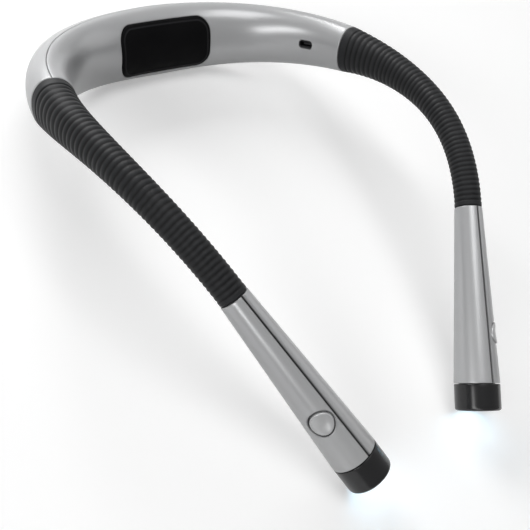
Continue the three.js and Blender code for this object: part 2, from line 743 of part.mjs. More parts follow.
// The last link has the cup behind the head and a stem held between the head's shells.
function headLink() {
  const own = jointSizes(JOINTS);
  const stemR = HEAD_ROOT_R - HEAD_WALL - GAP;
  const end = LAST_PIVOT_BACK + STEM_IN_HEAD;
  return turned(
    [
      ...cupProfile(own),
      [own.outside, own.cup],
      [stemR, own.cup + CUP_FLOOR],
      [stemR, end],
      [BORE_R, end],
    ],
    LINK_SIDES,
  );
}

// Ribbed sleeves

// The point where a link's axis crosses the section at a place along the arm.
function coreCentre(s) {
  const k = Array.from({ length: JOINTS }, (_, i) => i + 1).filter((i) => pivotPlace(i) < s).length;
  const [frame, link] = [frameAt(s), linkFrame(k)];
  const reach = frame.p.clone().sub(link.p).dot(frame.ahead) / link.ahead.dot(frame.ahead);
  return link.p.clone().addScaledVector(link.ahead, reach);
}

// A ring round a centre in the section at a place.
function ringAt(s, centre, pointAt) {
  const f = frameAt(s);
  return Array.from({ length: SLEEVE_SIDES }, (_, i) => {
    const q = pointAt(((i + 0.5) / SLEEVE_SIDES) * Math.PI * 2);
    return centre.clone().addScaledVector(f.out, q.x).addScaledVector(f.up, q.y);
  });
}

function sleeveStretch(k) {
  const start = stretchEnd(k - 1) + GAP / 2;
  const end = stretchEnd(k) - GAP / 2;
  const ribsStart = k === 1 ? start + BAND_CUFF : start;
  const ribsEnd = k === JOINTS ? end - HEAD_CUFF : end;
  const outside = [];
  const ringOf = (s, share) => {
    const section = sectionAt(s);
    const inset = section.wide * share;
    outside.push(ringAt(s, frameAt(s).p, (a) => outlinePoint(section, a, inset)));
  };
  if (k === 1) ringOf(start, 0);
  for (let rib = 0; rib < RIBS_PER_STRETCH; rib++) {
    ringOf(THREE.MathUtils.lerp(ribsStart, ribsEnd, rib / RIBS_PER_STRETCH), RIB_DEPTH_SHARE);
    ringOf(THREE.MathUtils.lerp(ribsStart, ribsEnd, (rib + 0.5) / RIBS_PER_STRETCH), 0);
  }
  ringOf(ribsEnd, k === JOINTS ? 0 : RIB_DEPTH_SHARE);
  if (k === JOINTS) ringOf(end, 0);
  const radius = (jointSizes(k).outside + SLEEVE_PLAY) / Math.cos(Math.PI / SLEEVE_SIDES);
  const bores = [start, pivotPlace(k), end].map((s) => {
    const centre = s === pivotPlace(k) ? PIVOTS[k] : coreCentre(s);
    return ringAt(s, centre, (a) => new THREE.Vector2(radius * Math.cos(a), radius * Math.sin(a)));
  });
  const rings = [...outside, ...bores.reverse()];
  const faces = [];
  rings.forEach((_, i) => {
    addWall(faces, i * SLEEVE_SIDES, ((i + 1) % rings.length) * SLEEVE_SIDES, SLEEVE_SIDES);
  });
  return fromFaces(rings.flat(), faces);
}

// Lamp heads, drawn about the start of the head with z towards the lamp

function headRadius(z) {
  return THREE.MathUtils.lerp(HEAD_ROOT_R, HEAD_END_R, z / HEAD_LENGTH);
}

function headShell(side) {
  const middle = PARTING_ANGLE - (side * Math.PI) / 2;
  const angles = evenly(middle - Math.PI / 2, middle + Math.PI / 2, HEAD_ARC_STEPS);
  const shift = new THREE.Vector2(Math.cos(middle), Math.sin(middle)).multiplyScalar(GAP / 2);
  const point = (a, r) => new THREE.Vector2(Math.cos(a), Math.sin(a)).multiplyScalar(r).add(shift);
  return sweep(
    [GAP / 2, HEAD_LENGTH - GAP / 2],
    (z) => [
      ...angles.map((a) => point(a, headRadius(z))),
      ...[...angles].reverse().map((a) => point(a, headRadius(z) - HEAD_WALL)),
    ],
    straightFrame,
  );
}

// The button's own frame: x through its middle, out of the head.
const buttonMatrix = new THREE.Matrix4()
  .makeRotationZ(BUTTON_ANGLE)
  .setPosition(0, 0, BUTTON_PLACE);
const buttonTurn = new THREE.Matrix4().makeRotationZ(BUTTON_ANGLE);

// A cone about the head's axis that follows its surface at an inset.
function headCone(inset) {
  const profile = [
    [0, 0],
    [headRadius(0) - inset, 0],
    [headRadius(HEAD_LENGTH) - inset, HEAD_LENGTH],
    [0, HEAD_LENGTH],
  ];
  return solid(turned(profile, FINE_SIDES), buttonTurn);
}

function buttonShell() {
  const reach = HEAD_END_R + OVERRUN;
  const well = solid(barAlongX(BUTTON_R + BUTTON_WELL_PLAY, 0, reach), buttonMatrix);
  return geometryOf(solid(headShell(1)).subtract(well));
}

// The button is held by a flange under the shell, and its plunger stops short of the switch by its travel.
const SWITCH_BASE = SWITCH_BOARD_BASE + SWITCH_BOARD_THICK + GAP;
const SWITCH_STEM_TOP = SWITCH_BASE + SWITCH_HIGH + SWITCH_STEM_HIGH;
const PLUNGER_END = SWITCH_STEM_TOP + BUTTON_TRAVEL + GAP / 2;

function button() {
  const reach = HEAD_END_R + OVERRUN;
  const under = headCone(HEAD_WALL + GAP + FLANGE_THICK);
  const cap = solid(barAlongX(BUTTON_R, 0, reach), buttonMatrix).intersect(headCone(-BUTTON_PROUD));
  const flange = solid(barAlongX(FLANGE_R, 0, reach), buttonMatrix).intersect(headCone(HEAD_WALL + GAP));
  const plungerTop = headRadius(BUTTON_PLACE) - HEAD_WALL - FLANGE_THICK;
  const plunger = solid(barAlongX(PLUNGER_R, PLUNGER_END, plungerTop, LINK_SIDES), buttonMatrix);
  const joined = cap.add(flange).subtract(under).add(plunger);
  return geometryOf(joined).applyMatrix4(buttonMatrix.clone().invert());
}

function switchBoard() {
  const [w, l] = [SWITCH_BOARD_WIDE / 2, SWITCH_BOARD_LONG / 2];
  return block([SWITCH_BOARD_BASE, -w, -l], [SWITCH_BOARD_BASE + SWITCH_BOARD_THICK, w, l]);
}

function tactSwitch() {
  const half = SWITCH_WIDE / 2;
  const body = solid(block([SWITCH_BASE, -half, -half], [SWITCH_BASE + SWITCH_HIGH, half, half]));
  const stem = barAlongX(SWITCH_STEM_R, SWITCH_BASE + SWITCH_HIGH / 2, SWITCH_STEM_TOP, LINK_SIDES);
  return geometryOf(body.add(solid(stem)));
}

// Cap and what it holds
const CAP_START = HEAD_LENGTH + GAP / 2;
const CAP_FACE = HEAD_LENGTH + CAP_LENGTH;
const SPIGOT_START = HEAD_LENGTH - SPIGOT_LENGTH;
const SPIGOT_R = headRadius(SPIGOT_START) - HEAD_WALL - GAP;
const SPIGOT_BORE = SPIGOT_R - SPIGOT_WALL;
const LENS_TOP = CAP_FACE - LENS_SINK;
const LENS_SEAT = LENS_TOP - LENS_THICK;
const LED_BOARD_START = SPIGOT_START + LED_BOARD_SINK;
const EMITTER_START = LED_BOARD_START + LED_BOARD_THICK + GAP;
const REFLECTOR_START = EMITTER_START + EMITTER_HIGH;

function lampCap() {
  return turned(
    [
      [SPIGOT_BORE, SPIGOT_START],
      [SPIGOT_R, SPIGOT_START],
      [SPIGOT_R, CAP_START],
      [CAP_R, CAP_START],
      ...CAP_EDGE_PROFILE.map(([r, back]) => [r, CAP_FACE - back]),
      [LENS_R + GAP, CAP_FACE],
      [LENS_R + GAP, LENS_SEAT - GAP],
      [SPIGOT_BORE, LENS_SEAT - GAP],
    ],
    CAP_SIDES,
  );
}

function lens() {
  return turned(
    [
      [0, LENS_SEAT],
      [LENS_R, LENS_SEAT],
      [LENS_R, LENS_TOP - LENS_DOME],
      [LENS_R / 2, LENS_TOP - LENS_DOME / 4],
      [0, LENS_TOP],
    ],
    CAP_SIDES,
  );
}

function reflector() {
  const rim = SPIGOT_BORE - GAP;
  const [start, end] = [REFLECTOR_START, LENS_SEAT - GAP];
  const high = end - start;
  const throat = REFLECTOR_THROAT_R;
  const half = THREE.MathUtils.lerp(throat, rim, Math.SQRT1_2);
  return turned(
    [
      [throat, start],
      [throat + REFLECTOR_WALL, start],
      [half + REFLECTOR_WALL / 2, start + high / 3],
      [rim, end - REFLECTOR_WALL],
      [rim, end],
      [rim - REFLECTOR_WALL / 2, end],
      [half - REFLECTOR_WALL / 2, start + high / 3],
    ],
    CAP_SIDES,
  );
}

const disc = (radius, start, thick) =>
  turned([[0, start], [radius, start], [radius, start + thick], [0, start + thick]], CAP_SIDES);

// Leads

// Points inside the band from rows of [place along the band, x, y] on its section.
function bandRoute(rows) {
  return rows.map(([s, x, y]) => {
    const f = frameAt(s);
    return f.p.addScaledVector(f.out, x).addScaledVector(f.up, y);
  });
}

const LEAD_LIFT = BOARD_TOP + ARM_LEAD_R + GAP;
const BOARD_NEAR_END = BOARD_PLACE - BOARD_LENGTH / 2;
const BOARD_FAR_END = BOARD_PLACE + BOARD_LENGTH / 2;
const FLANGE_BACK = BAND_HALF - ROOT_BACK - ROOT_FLANGE_THICK;
const OVER_CELL = CELL_HIGH / 2 + ARM_LEAD_R + 2 * GAP;

// The last part of an arm's lead: through the links' bores and along the head to the lamp's board.
function armRoute() {
  const inHead = [
    [0, LAST_PIVOT_BACK + STEM_IN_HEAD],
    [-LEAD_UNDER_SWITCH, BUTTON_PLACE / 2],
    [-LEAD_UNDER_SWITCH, BUTTON_PLACE],
    [-LEAD_UNDER_SWITCH, LED_BOARD_START - GAP],
  ];
  const rows = inHead.map(([y, z]) => {
    return headFrame.p.clone().addScaledVector(headFrame.up, y).addScaledVector(headFrame.ahead, z);
  });
  return [...PIVOTS, ...rows];
}

const mirrored = (points) => points.map((p) => new THREE.Vector3(-p.x, p.y, p.z));

function rightLead() {
  const start = bandRoute([
    [BOARD_FAR_END - ARM_LEAD_R, 0, LEAD_LIFT],
    [FLANGE_BACK, 0, LEAD_LIFT / 2],
  ]);
  return tube([...start, ...armRoute()], ARM_LEAD_R, LEAD_SIDES);
}

function leftLead() {
  const aside = 2 * ARM_LEAD_R;
  const cellTop = evenly(SCREW_PLACE * 2, -SCREW_PLACE * 2, LEAD_SIDES + 1);
  const [climb, climbHigh] = LEAD_CLIMB_SHARES;
  const [fall, fallHigh] = LEAD_FALL_SHARES;
  const start = bandRoute([
    [BOARD_NEAR_END + LEAD_ONTO_BOARD / 2, -2 * aside, LEAD_LIFT],
    [BOARD_NEAR_END - 2 * LEAD_ONTO_BOARD, -aside, LEAD_LIFT],
    [BAND_HALF * climb, 0, OVER_CELL * climbHigh],
    ...cellTop.map((s) => [s, aside, OVER_CELL]),
    [-BAND_HALF * fall, 0, OVER_CELL * fallHigh],
    [-BOARD_PLACE, 0, OVER_CELL / 4],
    [-FLANGE_BACK, 0, 0],
  ]);
  return tube([...start, ...mirrored(armRoute())], ARM_LEAD_R, LEAD_SIDES);
}

function batteryLead() {
  const aside = BATTERY_LEAD_ASIDE;
  const lift = BOARD_TOP + BATTERY_LEAD_R + GAP;
  const [low, middle, high] = BATTERY_LEAD_SHARES.map((share) => BAND_HALF * share);
  const route = bandRoute([
    [CELL_LENGTH / 2 + GAP, aside, CELL_HIGH / 4],
    [SCREW_PLACE + OUTER_BOSS_R, aside, CELL_HIGH / 4],
    [low, aside, BATTERY_LEAD_R],
    [middle, aside, 0],
    [high, aside, 0],
    [BOARD_NEAR_END, aside, lift],
    [BOARD_NEAR_END + LEAD_ONTO_BOARD, aside, lift],
  ]);
  return tube(route, BATTERY_LEAD_R, LEAD_SIDES);
}

// Assembly

// One arm with its head. The left one is the mirror image of the right one.
function armWithHead(side) {
  const arm = new THREE.Group();
  add(arm, side + "_arm_root", rootLink(), "nylon");
  for (let k = 1; k < JOINTS; k++) {
    add(arm, side + "_core_link_" + k, coreLink(k), "nylon", matrixOf(linkFrame(k)));
  }
  for (let k = 1; k <= JOINTS; k++) {
    add(arm, side + "_sleeve_stretch_" + k, sleeveStretch(k), "rubber");
  }
  const head = new THREE.Group();
  matrixOf(headFrame).decompose(head.position, head.quaternion, head.scale);
  const back = new THREE.Matrix4().makeTranslation(0, 0, -LAST_PIVOT_BACK);
  add(head, side + "_head_link", headLink(), "nylon", back);
  add(head, side + "_head_button_shell", buttonShell(), "silver");
  add(head, side + "_head_plain_shell", headShell(-1), "silver");
  add(head, side + "_button", button(), "silver", buttonMatrix);
  add(head, side + "_switch_board", switchBoard(), "board", buttonMatrix);
  add(head, side + "_tact_switch", tactSwitch(), "steel", buttonMatrix);
  add(head, side + "_lamp_cap", lampCap(), "gloss");
  add(head, side + "_lens", lens(), "lens");
  add(head, side + "_reflector", reflector(), "chrome");
  add(head, side + "_led_board", disc(SPIGOT_BORE - GAP, LED_BOARD_START, LED_BOARD_THICK), "board");
  add(head, side + "_led_emitter", disc(EMITTER_R, EMITTER_START, EMITTER_HIGH), "emitter");
  arm.add(head);
  if (side === "left") arm.scale.x = -1;
  return arm;
}

function band() {
  const group = new THREE.Group();
  add(group, "band_outer_shell", outerShell(), "silver");
  add(group, "band_inner_shell", innerShell(), "silver");
  add(group, "neck_pad", padForm(0, -PAD_PROUD, RECESS_DEPTH - GAP), "rubber");
  const cell = roundedBar(CELL_THICK, CELL_HIGH, CELL_CORNER, CELL_LENGTH, CELL_CURVE_STEPS);
  cell.translate(CELL_SHIFT, 0, -CELL_LENGTH / 2);
  add(group, "battery_cell", cell, "cell", matrixOf(frameAt(0)));
  add(group, "control_board", controlBoard(), "board", boardMatrix);
  add(group, "charge_socket", chargeSocket(), "steel", boardMatrix);
  add(group, "right_band_screw", bandScrew(), "steel", screwFrames[0]);
  add(group, "left_band_screw", bandScrew(), "steel", screwFrames[1]);
  add(group, "battery_lead", batteryLead(), "insulation");
  add(group, "right_arm_lead", rightLead(), "insulation");
  add(group, "left_arm_lead", leftLead(), "insulation");
  return group;
}

// The whole light, tilted to its rest, with its origin under the middle of its box.
const light = new THREE.Group();
light.add(band(), armWithHead("right"), armWithHead("left"));
light.rotation.x = REST.tilt;
light.updateMatrixWorld(true);
const box = new THREE.Box3().setFromObject(light, true);
light.position.set(0, -(box.min.y + box.max.y) / 2, -REST.floor);
light.updateMatrixWorld(true);

export default light;
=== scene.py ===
"""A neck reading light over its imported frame.

A stiff silver band with a rubber neck pad, two bendable arms in ribbed rubber sleeves, and a
tapered lamp head with a push button at the end of each arm. Shapes are drawn in millimetres about
the middle of the band, with the wearer's neck on the -y side, and are then laid to rest as the
frame lies.
"""

import json
import logging
import math
from dataclasses import dataclass, field
from enum import Enum
from functools import cache
from typing import Callable, Sequence

import bpy
import numpy as np
from mathutils import Matrix, Vector


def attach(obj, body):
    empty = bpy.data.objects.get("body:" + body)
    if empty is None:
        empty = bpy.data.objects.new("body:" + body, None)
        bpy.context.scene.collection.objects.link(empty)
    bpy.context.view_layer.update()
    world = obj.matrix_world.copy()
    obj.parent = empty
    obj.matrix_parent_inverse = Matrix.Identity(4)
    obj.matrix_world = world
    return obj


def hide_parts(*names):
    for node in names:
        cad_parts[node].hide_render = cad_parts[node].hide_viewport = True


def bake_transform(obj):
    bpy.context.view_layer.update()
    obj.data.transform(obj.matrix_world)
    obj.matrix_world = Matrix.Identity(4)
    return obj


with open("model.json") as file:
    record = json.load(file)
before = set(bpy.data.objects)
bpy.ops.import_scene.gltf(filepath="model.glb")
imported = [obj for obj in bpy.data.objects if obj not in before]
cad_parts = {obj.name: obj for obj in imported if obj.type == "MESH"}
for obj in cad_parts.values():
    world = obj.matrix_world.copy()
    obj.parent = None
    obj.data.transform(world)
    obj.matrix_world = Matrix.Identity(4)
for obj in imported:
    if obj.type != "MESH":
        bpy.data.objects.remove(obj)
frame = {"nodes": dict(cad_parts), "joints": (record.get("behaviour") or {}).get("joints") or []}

LOG = logging.getLogger("neck_light")
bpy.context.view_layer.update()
MM = 0.001
FULL_TURN, HALF_TURN, QUARTER_TURN = 2 * math.pi, math.pi, math.pi / 2
SHARP_ANGLE = math.radians(48)
TINY = 1e-12

Array = np.ndarray
Pair = tuple[float, float]
Triple = tuple[float, float, float]
Socket = bpy.types.NodeSocket
Piece = bpy.types.Object


# Forms: points and faces


@dataclass
class Form:
    """Points in millimetres, the faces between them, and values per point for a finish to read."""

    points: Array
    quads: Array
    tris: Array = field(default_factory=lambda: np.empty((0, 3), int))
    values: dict[str, Array] = field(default_factory=dict)


def grid_faces(rows: int, cols: int, round_rows: bool = False, round_cols: bool = False) -> Array:
    """Four-sided faces of a grid whose points are numbered row by row.

    Args:
        rows: number of rows.
        cols: number of points in a row.
        round_rows: whether the last row joins the first.
        round_cols: whether each row is a closed ring.

    Returns:
        An array of faces, four point numbers each.
    """
    i, j = np.meshgrid(
        np.arange(rows if round_rows else rows - 1),
        np.arange(cols if round_cols else cols - 1),
        indexing="ij",
    )
    ahead, beside = (i + 1) % rows, (j + 1) % cols
    corners = [i * cols + j, i * cols + beside, ahead * cols + beside, ahead * cols + j]
    return np.stack(corners, -1).reshape(-1, 4)


def ring_faces(rings: Array) -> Array:
    """Faces between closed rings given as rows of point numbers.

    Args:
        rings: point numbers, one ring in each row.

    Returns:
        An array of four-sided faces.
    """
    return rings.reshape(-1)[grid_faces(*rings.shape, round_cols=True)]


def fan_faces(ring: Array, pole: int, leads: bool) -> Array:
    """Triangles between a ring and a pole before it or after it.

    Args:
        ring: point numbers of the ring.
        pole: number of the pole's point.
        leads: whether the pole comes before the ring.

    Returns:
        An array of triangles that face as the faces beside the ring do.
    """
    near, far = (np.roll(ring, -1), ring) if leads else (ring, np.roll(ring, -1))
    return np.stack([near, far, np.full(len(ring), pole)], -1)


def capped(rings: Array, poles: Array) -> Form:
    """The skin over a row of closed rings, with a fan to a pole at each end.

    Args:
        rings: points by ring.
        poles: the pole before the first ring and the one after the last.

    Returns:
        The form, whose last two points are the poles.
    """
    ring = np.arange(rings.shape[1])
    count = len(rings) * len(ring)
    tris = [fan_faces(ring, count, True), fan_faces(ring + count - len(ring), count + 1, False)]
    points = np.concatenate([rings.reshape(-1, 3), poles])
    return Form(points, grid_faces(*rings.shape[:2], round_cols=True), np.concatenate(tris))


def rounded_drop(distance: Array, radius: float) -> Array:
    """How far a rounded edge lies under the flat face: r - sqrt(r^2 - (r - d)^2) within r of the edge.

    Args:
        distance: distance from the edge.
        radius: radius of the rounding.

    Returns:
        The drop at each distance, zero beyond the rounding.
    """
    past = radius - np.clip(distance, 0, radius)
    return radius - np.sqrt(np.maximum(radius**2 - past**2, 0))


def smooth(share: Array) -> Array:
    """An even rise from 0 to 1, as 3t^2 - 2t^3."""
    t = np.clip(share, 0, 1)
    return t * t * (3 - 2 * t)


def unit(vectors: Array) -> Array:
    """Vectors scaled to length 1."""
    return vectors / np.linalg.norm(vectors, axis=-1, keepdims=True)


def ring_angles(count: int, start: float = 0.0) -> Array:
    """Evenly spaced angles round a full turn, from `start` steps on."""
    return (np.arange(count) + start) / count * FULL_TURN


def over_edge(radius: float, steps: int) -> Array:
    """Distances from an edge at even turns over its rounding: r (1 - cos a)."""
    return radius * (1 - np.cos(np.linspace(0, 1, steps) * QUARTER_TURN))


def stations(half: float, near: Array, count: int) -> Array:
    """Values from -half to half, even in between and close together at both ends.

    Args:
        half: half the range.
        near: distances of the close ones from each end.
        count: number of the even ones.

    Returns:
        The values in order.
    """
    even = np.linspace(near[-1] - half, half - near[-1], count)
    return np.unique(np.concatenate([near - half, even, half - near]).round(9))


def filleted(corners: Sequence[Triple], closed: bool, steps: int = 6) -> Array:
    """A line through corners, each one rounded by an arc that touches both of its legs.

    Args:
        corners: x, y and radius of each corner.
        closed: whether the last corner joins the first.
        steps: faces in each arc.

    Returns:
        Points of the line, two numbers each.
    """
    places = np.array([c[:2] for c in corners], float)
    count = len(places)
    parts = []
    for i, (x, y, radius) in enumerate(corners):
        if radius == 0 or (not closed and i in (0, count - 1)):
            parts.append(np.array([[x, y]], float))
            continue
        to_last, to_next = unit(places[i - 1] - places[i]), unit(places[(i + 1) % count] - places[i])
        half = math.acos(float(np.clip(to_last @ to_next, -1, 1))) / 2
        middle = unit(to_last + to_next)
        centre = places[i] + middle * radius / math.sin(half)
        swing = np.linspace(half - QUARTER_TURN, QUARTER_TURN - half, steps + 1)[:, None]
        side = unit(to_next - middle * (to_next @ middle))
        parts.append(centre + radius * (np.sin(swing) * side - np.cos(swing) * middle))
    return np.concatenate(parts)


def finer(line: Array, step: float, closed: bool) -> Array:
    """The same line with no leg longer than a step.

    Args:
        line: points of the line.
        step: longest leg wanted.
        closed: whether the last point joins the first.

    Returns:
        Points of the finer line.
    """
    ends = np.concatenate([line[1:], line[:1]]) if closed else line[1:]
    starts = line if closed else line[:-1]
    parts = []
    for a, b in zip(starts, ends):
        count = max(int(np.ceil(np.linalg.norm(b - a) / step)), 1)
        parts.append(a + (b - a) * (np.arange(count) / count)[:, None])
    return np.concatenate(parts if closed else [*parts, line[-1:]])


def revolve(profile: Array, sides: int, closed: bool) -> Form:
    """A turned form about z: each profile point r, z becomes the ring (r cos a, r sin a, z).

    Args:
        profile: radius and height of each point. An open profile starts and ends on the axis.
        sides: points in each ring.
        closed: whether the profile is a closed loop clear of the axis.

    Returns:
        The form.
    """
    turn = ring_angles(sides)
    rings = profile if closed else profile[1:-1]
    radius, height = rings[:, :1], np.repeat(rings[:, 1:], sides, 1)
    points = np.stack([radius * np.cos(turn), radius * np.sin(turn), height], -1)
    if closed:
        return Form(points.reshape(-1, 3), grid_faces(len(rings), sides, True, True))
    return capped(points, np.array([[0, 0, profile[0, 1]], [0, 0, profile[-1, 1]]]))


def wire(points: Array, radius: float, sides: int = 12) -> Form:
    """A round wire along a row of points, with flat closed ends.

    Each ring stands square to the line there: c + r (cos a side + sin a (along x side)), where side
    is the upright direction less its part along the line. Upright leans a little, so that no wire
    runs along it.

    Args:
        points: the line's points.
        radius: radius of the wire.
        sides: points in each ring.

    Returns:
        The form.
    """
    along, upright = unit(np.gradient(points, axis=0)), np.array([0.02, 0.02, 1.02])
    side = unit(upright - along * (along @ upright)[:, None])[:, None]
    turn = ring_angles(sides)[:, None]
    arms = np.cos(turn) * side + np.sin(turn) * np.cross(along[:, None], side)
    return capped(points[:, None] + radius * arms, points[[0, -1]])


def through(points: Array, step: float) -> Array:
    """A smooth line through points: each leg is the cubic with slopes (next - last) / 2 at its ends.

    Args:
        points: the points to pass through.
        step: about how far apart the new points are.

    Returns:
        Points of the smooth line.
    """
    slope = np.gradient(points, axis=0)
    parts = []
    for i in range(len(points) - 1):
        leg = np.linalg.norm(points[i + 1] - points[i])
        count = max(int(leg / step), 1)
        t = (np.arange(count) / count)[:, None]
        rise = 3 * t**2 - 2 * t**3
        bend = (t**3 - 2 * t**2 + t) * slope[i] + (t**3 - t**2) * slope[i + 1]
        parts.append(points[i] * (1 - rise) + points[i + 1] * rise + bend)
    return np.concatenate([*parts, points[-1:]])


# The light's centre line and sections


@dataclass(frozen=True)
class Shape:
    """Sizes of the light in millimetres and degrees."""

    band_half: float = 102.8
    arm_length: float = 111.1
    head_length: float = 72.1
    cap_length: float = 10.6
    band_turns: tuple[float, ...] = (28.4, 75.1, 102, 90.5, 66.7)
    arm_turns: tuple[float, ...] = (63.5, 27.6, 47.6, 53.5)
    band_dips: tuple[float, ...] = (0, 0, -7.6)
    arm_dips: tuple[float, ...] = (-13.3, -37.5, -71.5, -53.2)
    walk_steps: int = 160
    middle_half: Pair = (10.1, 16.2)
    end_half: Pair = (8.7, 10.8)
    sleeve_end_r: float = 5.5
    square_power: float = 2.2
    band_taper: float = 1.4
    arm_taper: float = 2.7
    joints: int = 6
    gap: float = 0.3
    root_back: float = 4.0

    @property
    def head_start(self) -> float:
        """Where the heads begin on the centre line."""
        return self.band_half + self.arm_length


SHAPE = Shape()


def heading(turn: Array, dip: Array) -> Array:
    """Unit directions (cos t cos d, -sin t cos d, sin d) for turns t and dips d in degrees."""
    t, d = np.radians(turn), np.radians(dip)
    return np.stack([np.cos(t) * np.cos(d), -np.sin(t) * np.cos(d), np.sin(d)], -1)


@dataclass(frozen=True)
class Frames:
    """Places and directions along the light: out from the neck, up, and ahead along the line."""

    place: Array
    out: Array
    up: Array
    ahead: Array

    def point(self, x: Array, y: Array) -> Array:
        """Points at x outwards and y up in each frame's section."""
        return self.place + self.out * np.asarray(x)[..., None] + self.up * np.asarray(y)[..., None]


class CentreLine:
    """The line through the middle of the light, walked from the middle of the band in small steps."""

    def __init__(self, shape: Shape) -> None:
        """Walks the line: each step turns and dips by its rates and goes ahead at their middle values.

        Args:
            shape: sizes of the light.
        """
        self.shape = shape
        steps = shape.walk_steps
        share = (np.arange(steps) + 0.5) / steps

        def spread(values: Sequence[float]) -> Array:
            """Rates at the middle of each step, between evenly spaced ones."""
            return np.interp(share, np.linspace(0, 1, len(values)), values) / steps

        turn_rates = np.concatenate([spread(shape.band_turns), spread(shape.arm_turns)])
        dip_rates = np.concatenate([spread(shape.band_dips), spread(shape.arm_dips)])
        self.turn = np.concatenate([[0], np.cumsum(turn_rates)])
        self.dip = np.concatenate([[0], np.cumsum(dip_rates)])
        ahead = heading((self.turn[1:] + self.turn[:-1]) / 2, (self.dip[1:] + self.dip[:-1]) / 2)
        lengths = np.repeat([shape.band_half / steps, shape.arm_length / steps], steps)
        self.places = np.concatenate([np.zeros((1, 3)), np.cumsum(ahead * lengths[:, None], 0)])
        self.shares = np.arange(2 * steps + 1) / steps

    def frames(self, s: Array) -> Frames:
        """Frames at distances along the line. Left of the middle they are mirror images.

        Args:
            s: distances from the middle of the band, negative to the left.

        Returns:
            The frames, of the same shape as s.
        """
        s = np.asarray(s, float)
        along = np.abs(s)
        bent = np.minimum(along, self.shape.head_start)
        in_arm = 1 + (bent - self.shape.band_half) / self.shape.arm_length
        share = np.where(bent < self.shape.band_half, bent / self.shape.band_half, in_arm)
        turn = np.interp(share, self.shares, self.turn)
        ahead = heading(turn, np.interp(share, self.shares, self.dip))
        place = np.stack([np.interp(share, self.shares, self.places[:, k]) for k in range(3)], -1)
        place = place + ahead * (along - bent)[..., None]
        t = np.radians(turn)
        out = np.stack([np.sin(t), np.cos(t), np.zeros_like(t)], -1)
        up = np.cross(ahead, out)
        left = np.where(s < 0, -1.0, 1.0)[..., None]
        flip_x = np.concatenate([left, np.ones_like(left), np.ones_like(left)], -1)
        return Frames(place * flip_x, out * flip_x, up * flip_x, ahead * flip_x * left)

    def section(self, s: Array) -> tuple[Array, Array, Array]:
        """Half width, half height and squareness of the section at distances along the line.

        Args:
            s: distances from the middle of the band.

        Returns:
            Three arrays of the same shape as s.
        """
        shape = self.shape
        along = np.abs(np.asarray(s, float))
        in_band = np.minimum(along / shape.band_half, 1) ** shape.band_taper
        arm_share = np.clip((along - shape.band_half) / shape.arm_length, 0, 1)
        in_arm = 1 - (1 - arm_share) ** shape.arm_taper
        sizes = []
        for middle, end in zip(shape.middle_half, shape.end_half):
            beyond = end + (shape.sleeve_end_r - end) * in_arm
            sizes.append(middle + (beyond - middle) * in_band)
        return sizes[0], sizes[1], shape.square_power + (2 - shape.square_power) * in_arm

    def outline(self, s: Array, angle: Array, inset: Array) -> tuple[Array, Array]:
        """Section outline: x = (w - i) cos^(2/p), y = (h - i) sin^(2/p), with the signs kept.

        Args:
            s: distances along the line.
            angle: angles round the section.
            inset: how far inside the outline.

        Returns:
            x and y of the points.
        """
        wide, high, power = self.section(s)
        spot = []
        for half, part in ((wide, np.cos(angle)), (high, np.sin(angle))):
            part = np.where(np.abs(part) < TINY, 0, part)
            spot.append(np.sign(part) * (half - inset) * np.abs(part) ** (2 / power))
        return spot[0], spot[1]


LINE = CentreLine(SHAPE)


class Side(Enum):
    """The wearer's two sides, with the sign of x on each."""

    RIGHT = 1
    LEFT = -1

    @property
    def word(self) -> str:
        """The side's name in the names of pieces."""
        return self.name.lower()


@dataclass
class ArmPlan:
    """Places of an arm's joints, and the sizes of its core at each of them."""

    line: CentreLine
    ball_share: float = 0.47
    ball_play: float = 0.2
    cup_wall: float = 0.9
    sleeve_play: float = 0.5
    link_sides: int = 12
    arc_step: float = math.radians(22.5)

    def __post_init__(self) -> None:
        """Places the joints in the middle of stretches that shrink by one ratio."""
        line, shape = self.line, self.line.shape
        ratio = (shape.sleeve_end_r / (sum(shape.end_half) / 2)) ** (1 / shape.joints)
        ends = (1 - ratio ** np.arange(shape.joints + 1)) / (1 - ratio**shape.joints)
        self.ends = shape.band_half + shape.arm_length * ends
        self.joint_places = (self.ends[1:] + self.ends[:-1]) / 2
        self.last_back = shape.head_start - self.joint_places[-1]
        self.head = line.frames(shape.head_start)
        balls = np.concatenate([[shape.band_half - shape.root_back], self.joint_places[:-1]])
        last = self.head.place - self.head.ahead * self.last_back
        self.pivots = np.concatenate([line.frames(balls).place, last[None]])

    def core_radius(self, k: int) -> float:
        """Outer radius of the core's cup at a joint.

        Args:
            k: the joint, counted from 1.

        Returns:
            The radius at the corners of the faceted cup.
        """
        ball = float(self.line.section(self.joint_places[k - 1])[0]) * self.ball_share
        facet = math.cos(HALF_TURN / self.link_sides) * math.cos(self.arc_step / 2)
        return (ball + self.ball_play) / facet + self.cup_wall

    def core_centre(self, s: Array) -> Array:
        """Where the links' axes cross the sections at distances along the arm.

        On the link that starts at p in direction d, the point is p + d ((c - p).a) / (d.a), with c
        the section's middle and a the direction ahead.

        Args:
            s: distances along the line.

        Returns:
            Points on the links' axes.
        """
        frames = self.line.frames(s)
        joint = np.concatenate([[0], self.joint_places])
        link = np.clip(np.searchsorted(joint, s, side="left") - 1, 0, len(self.pivots) - 1)
        tips = np.concatenate([self.pivots[1:], self.head.place[None]])
        start = self.pivots[link]
        along = unit(tips[link] - start)
        reach = np.sum((frames.place - start) * frames.ahead, -1) / np.sum(along * frames.ahead, -1)
        return start + along * reach[..., None]


ARM = ArmPlan(LINE)


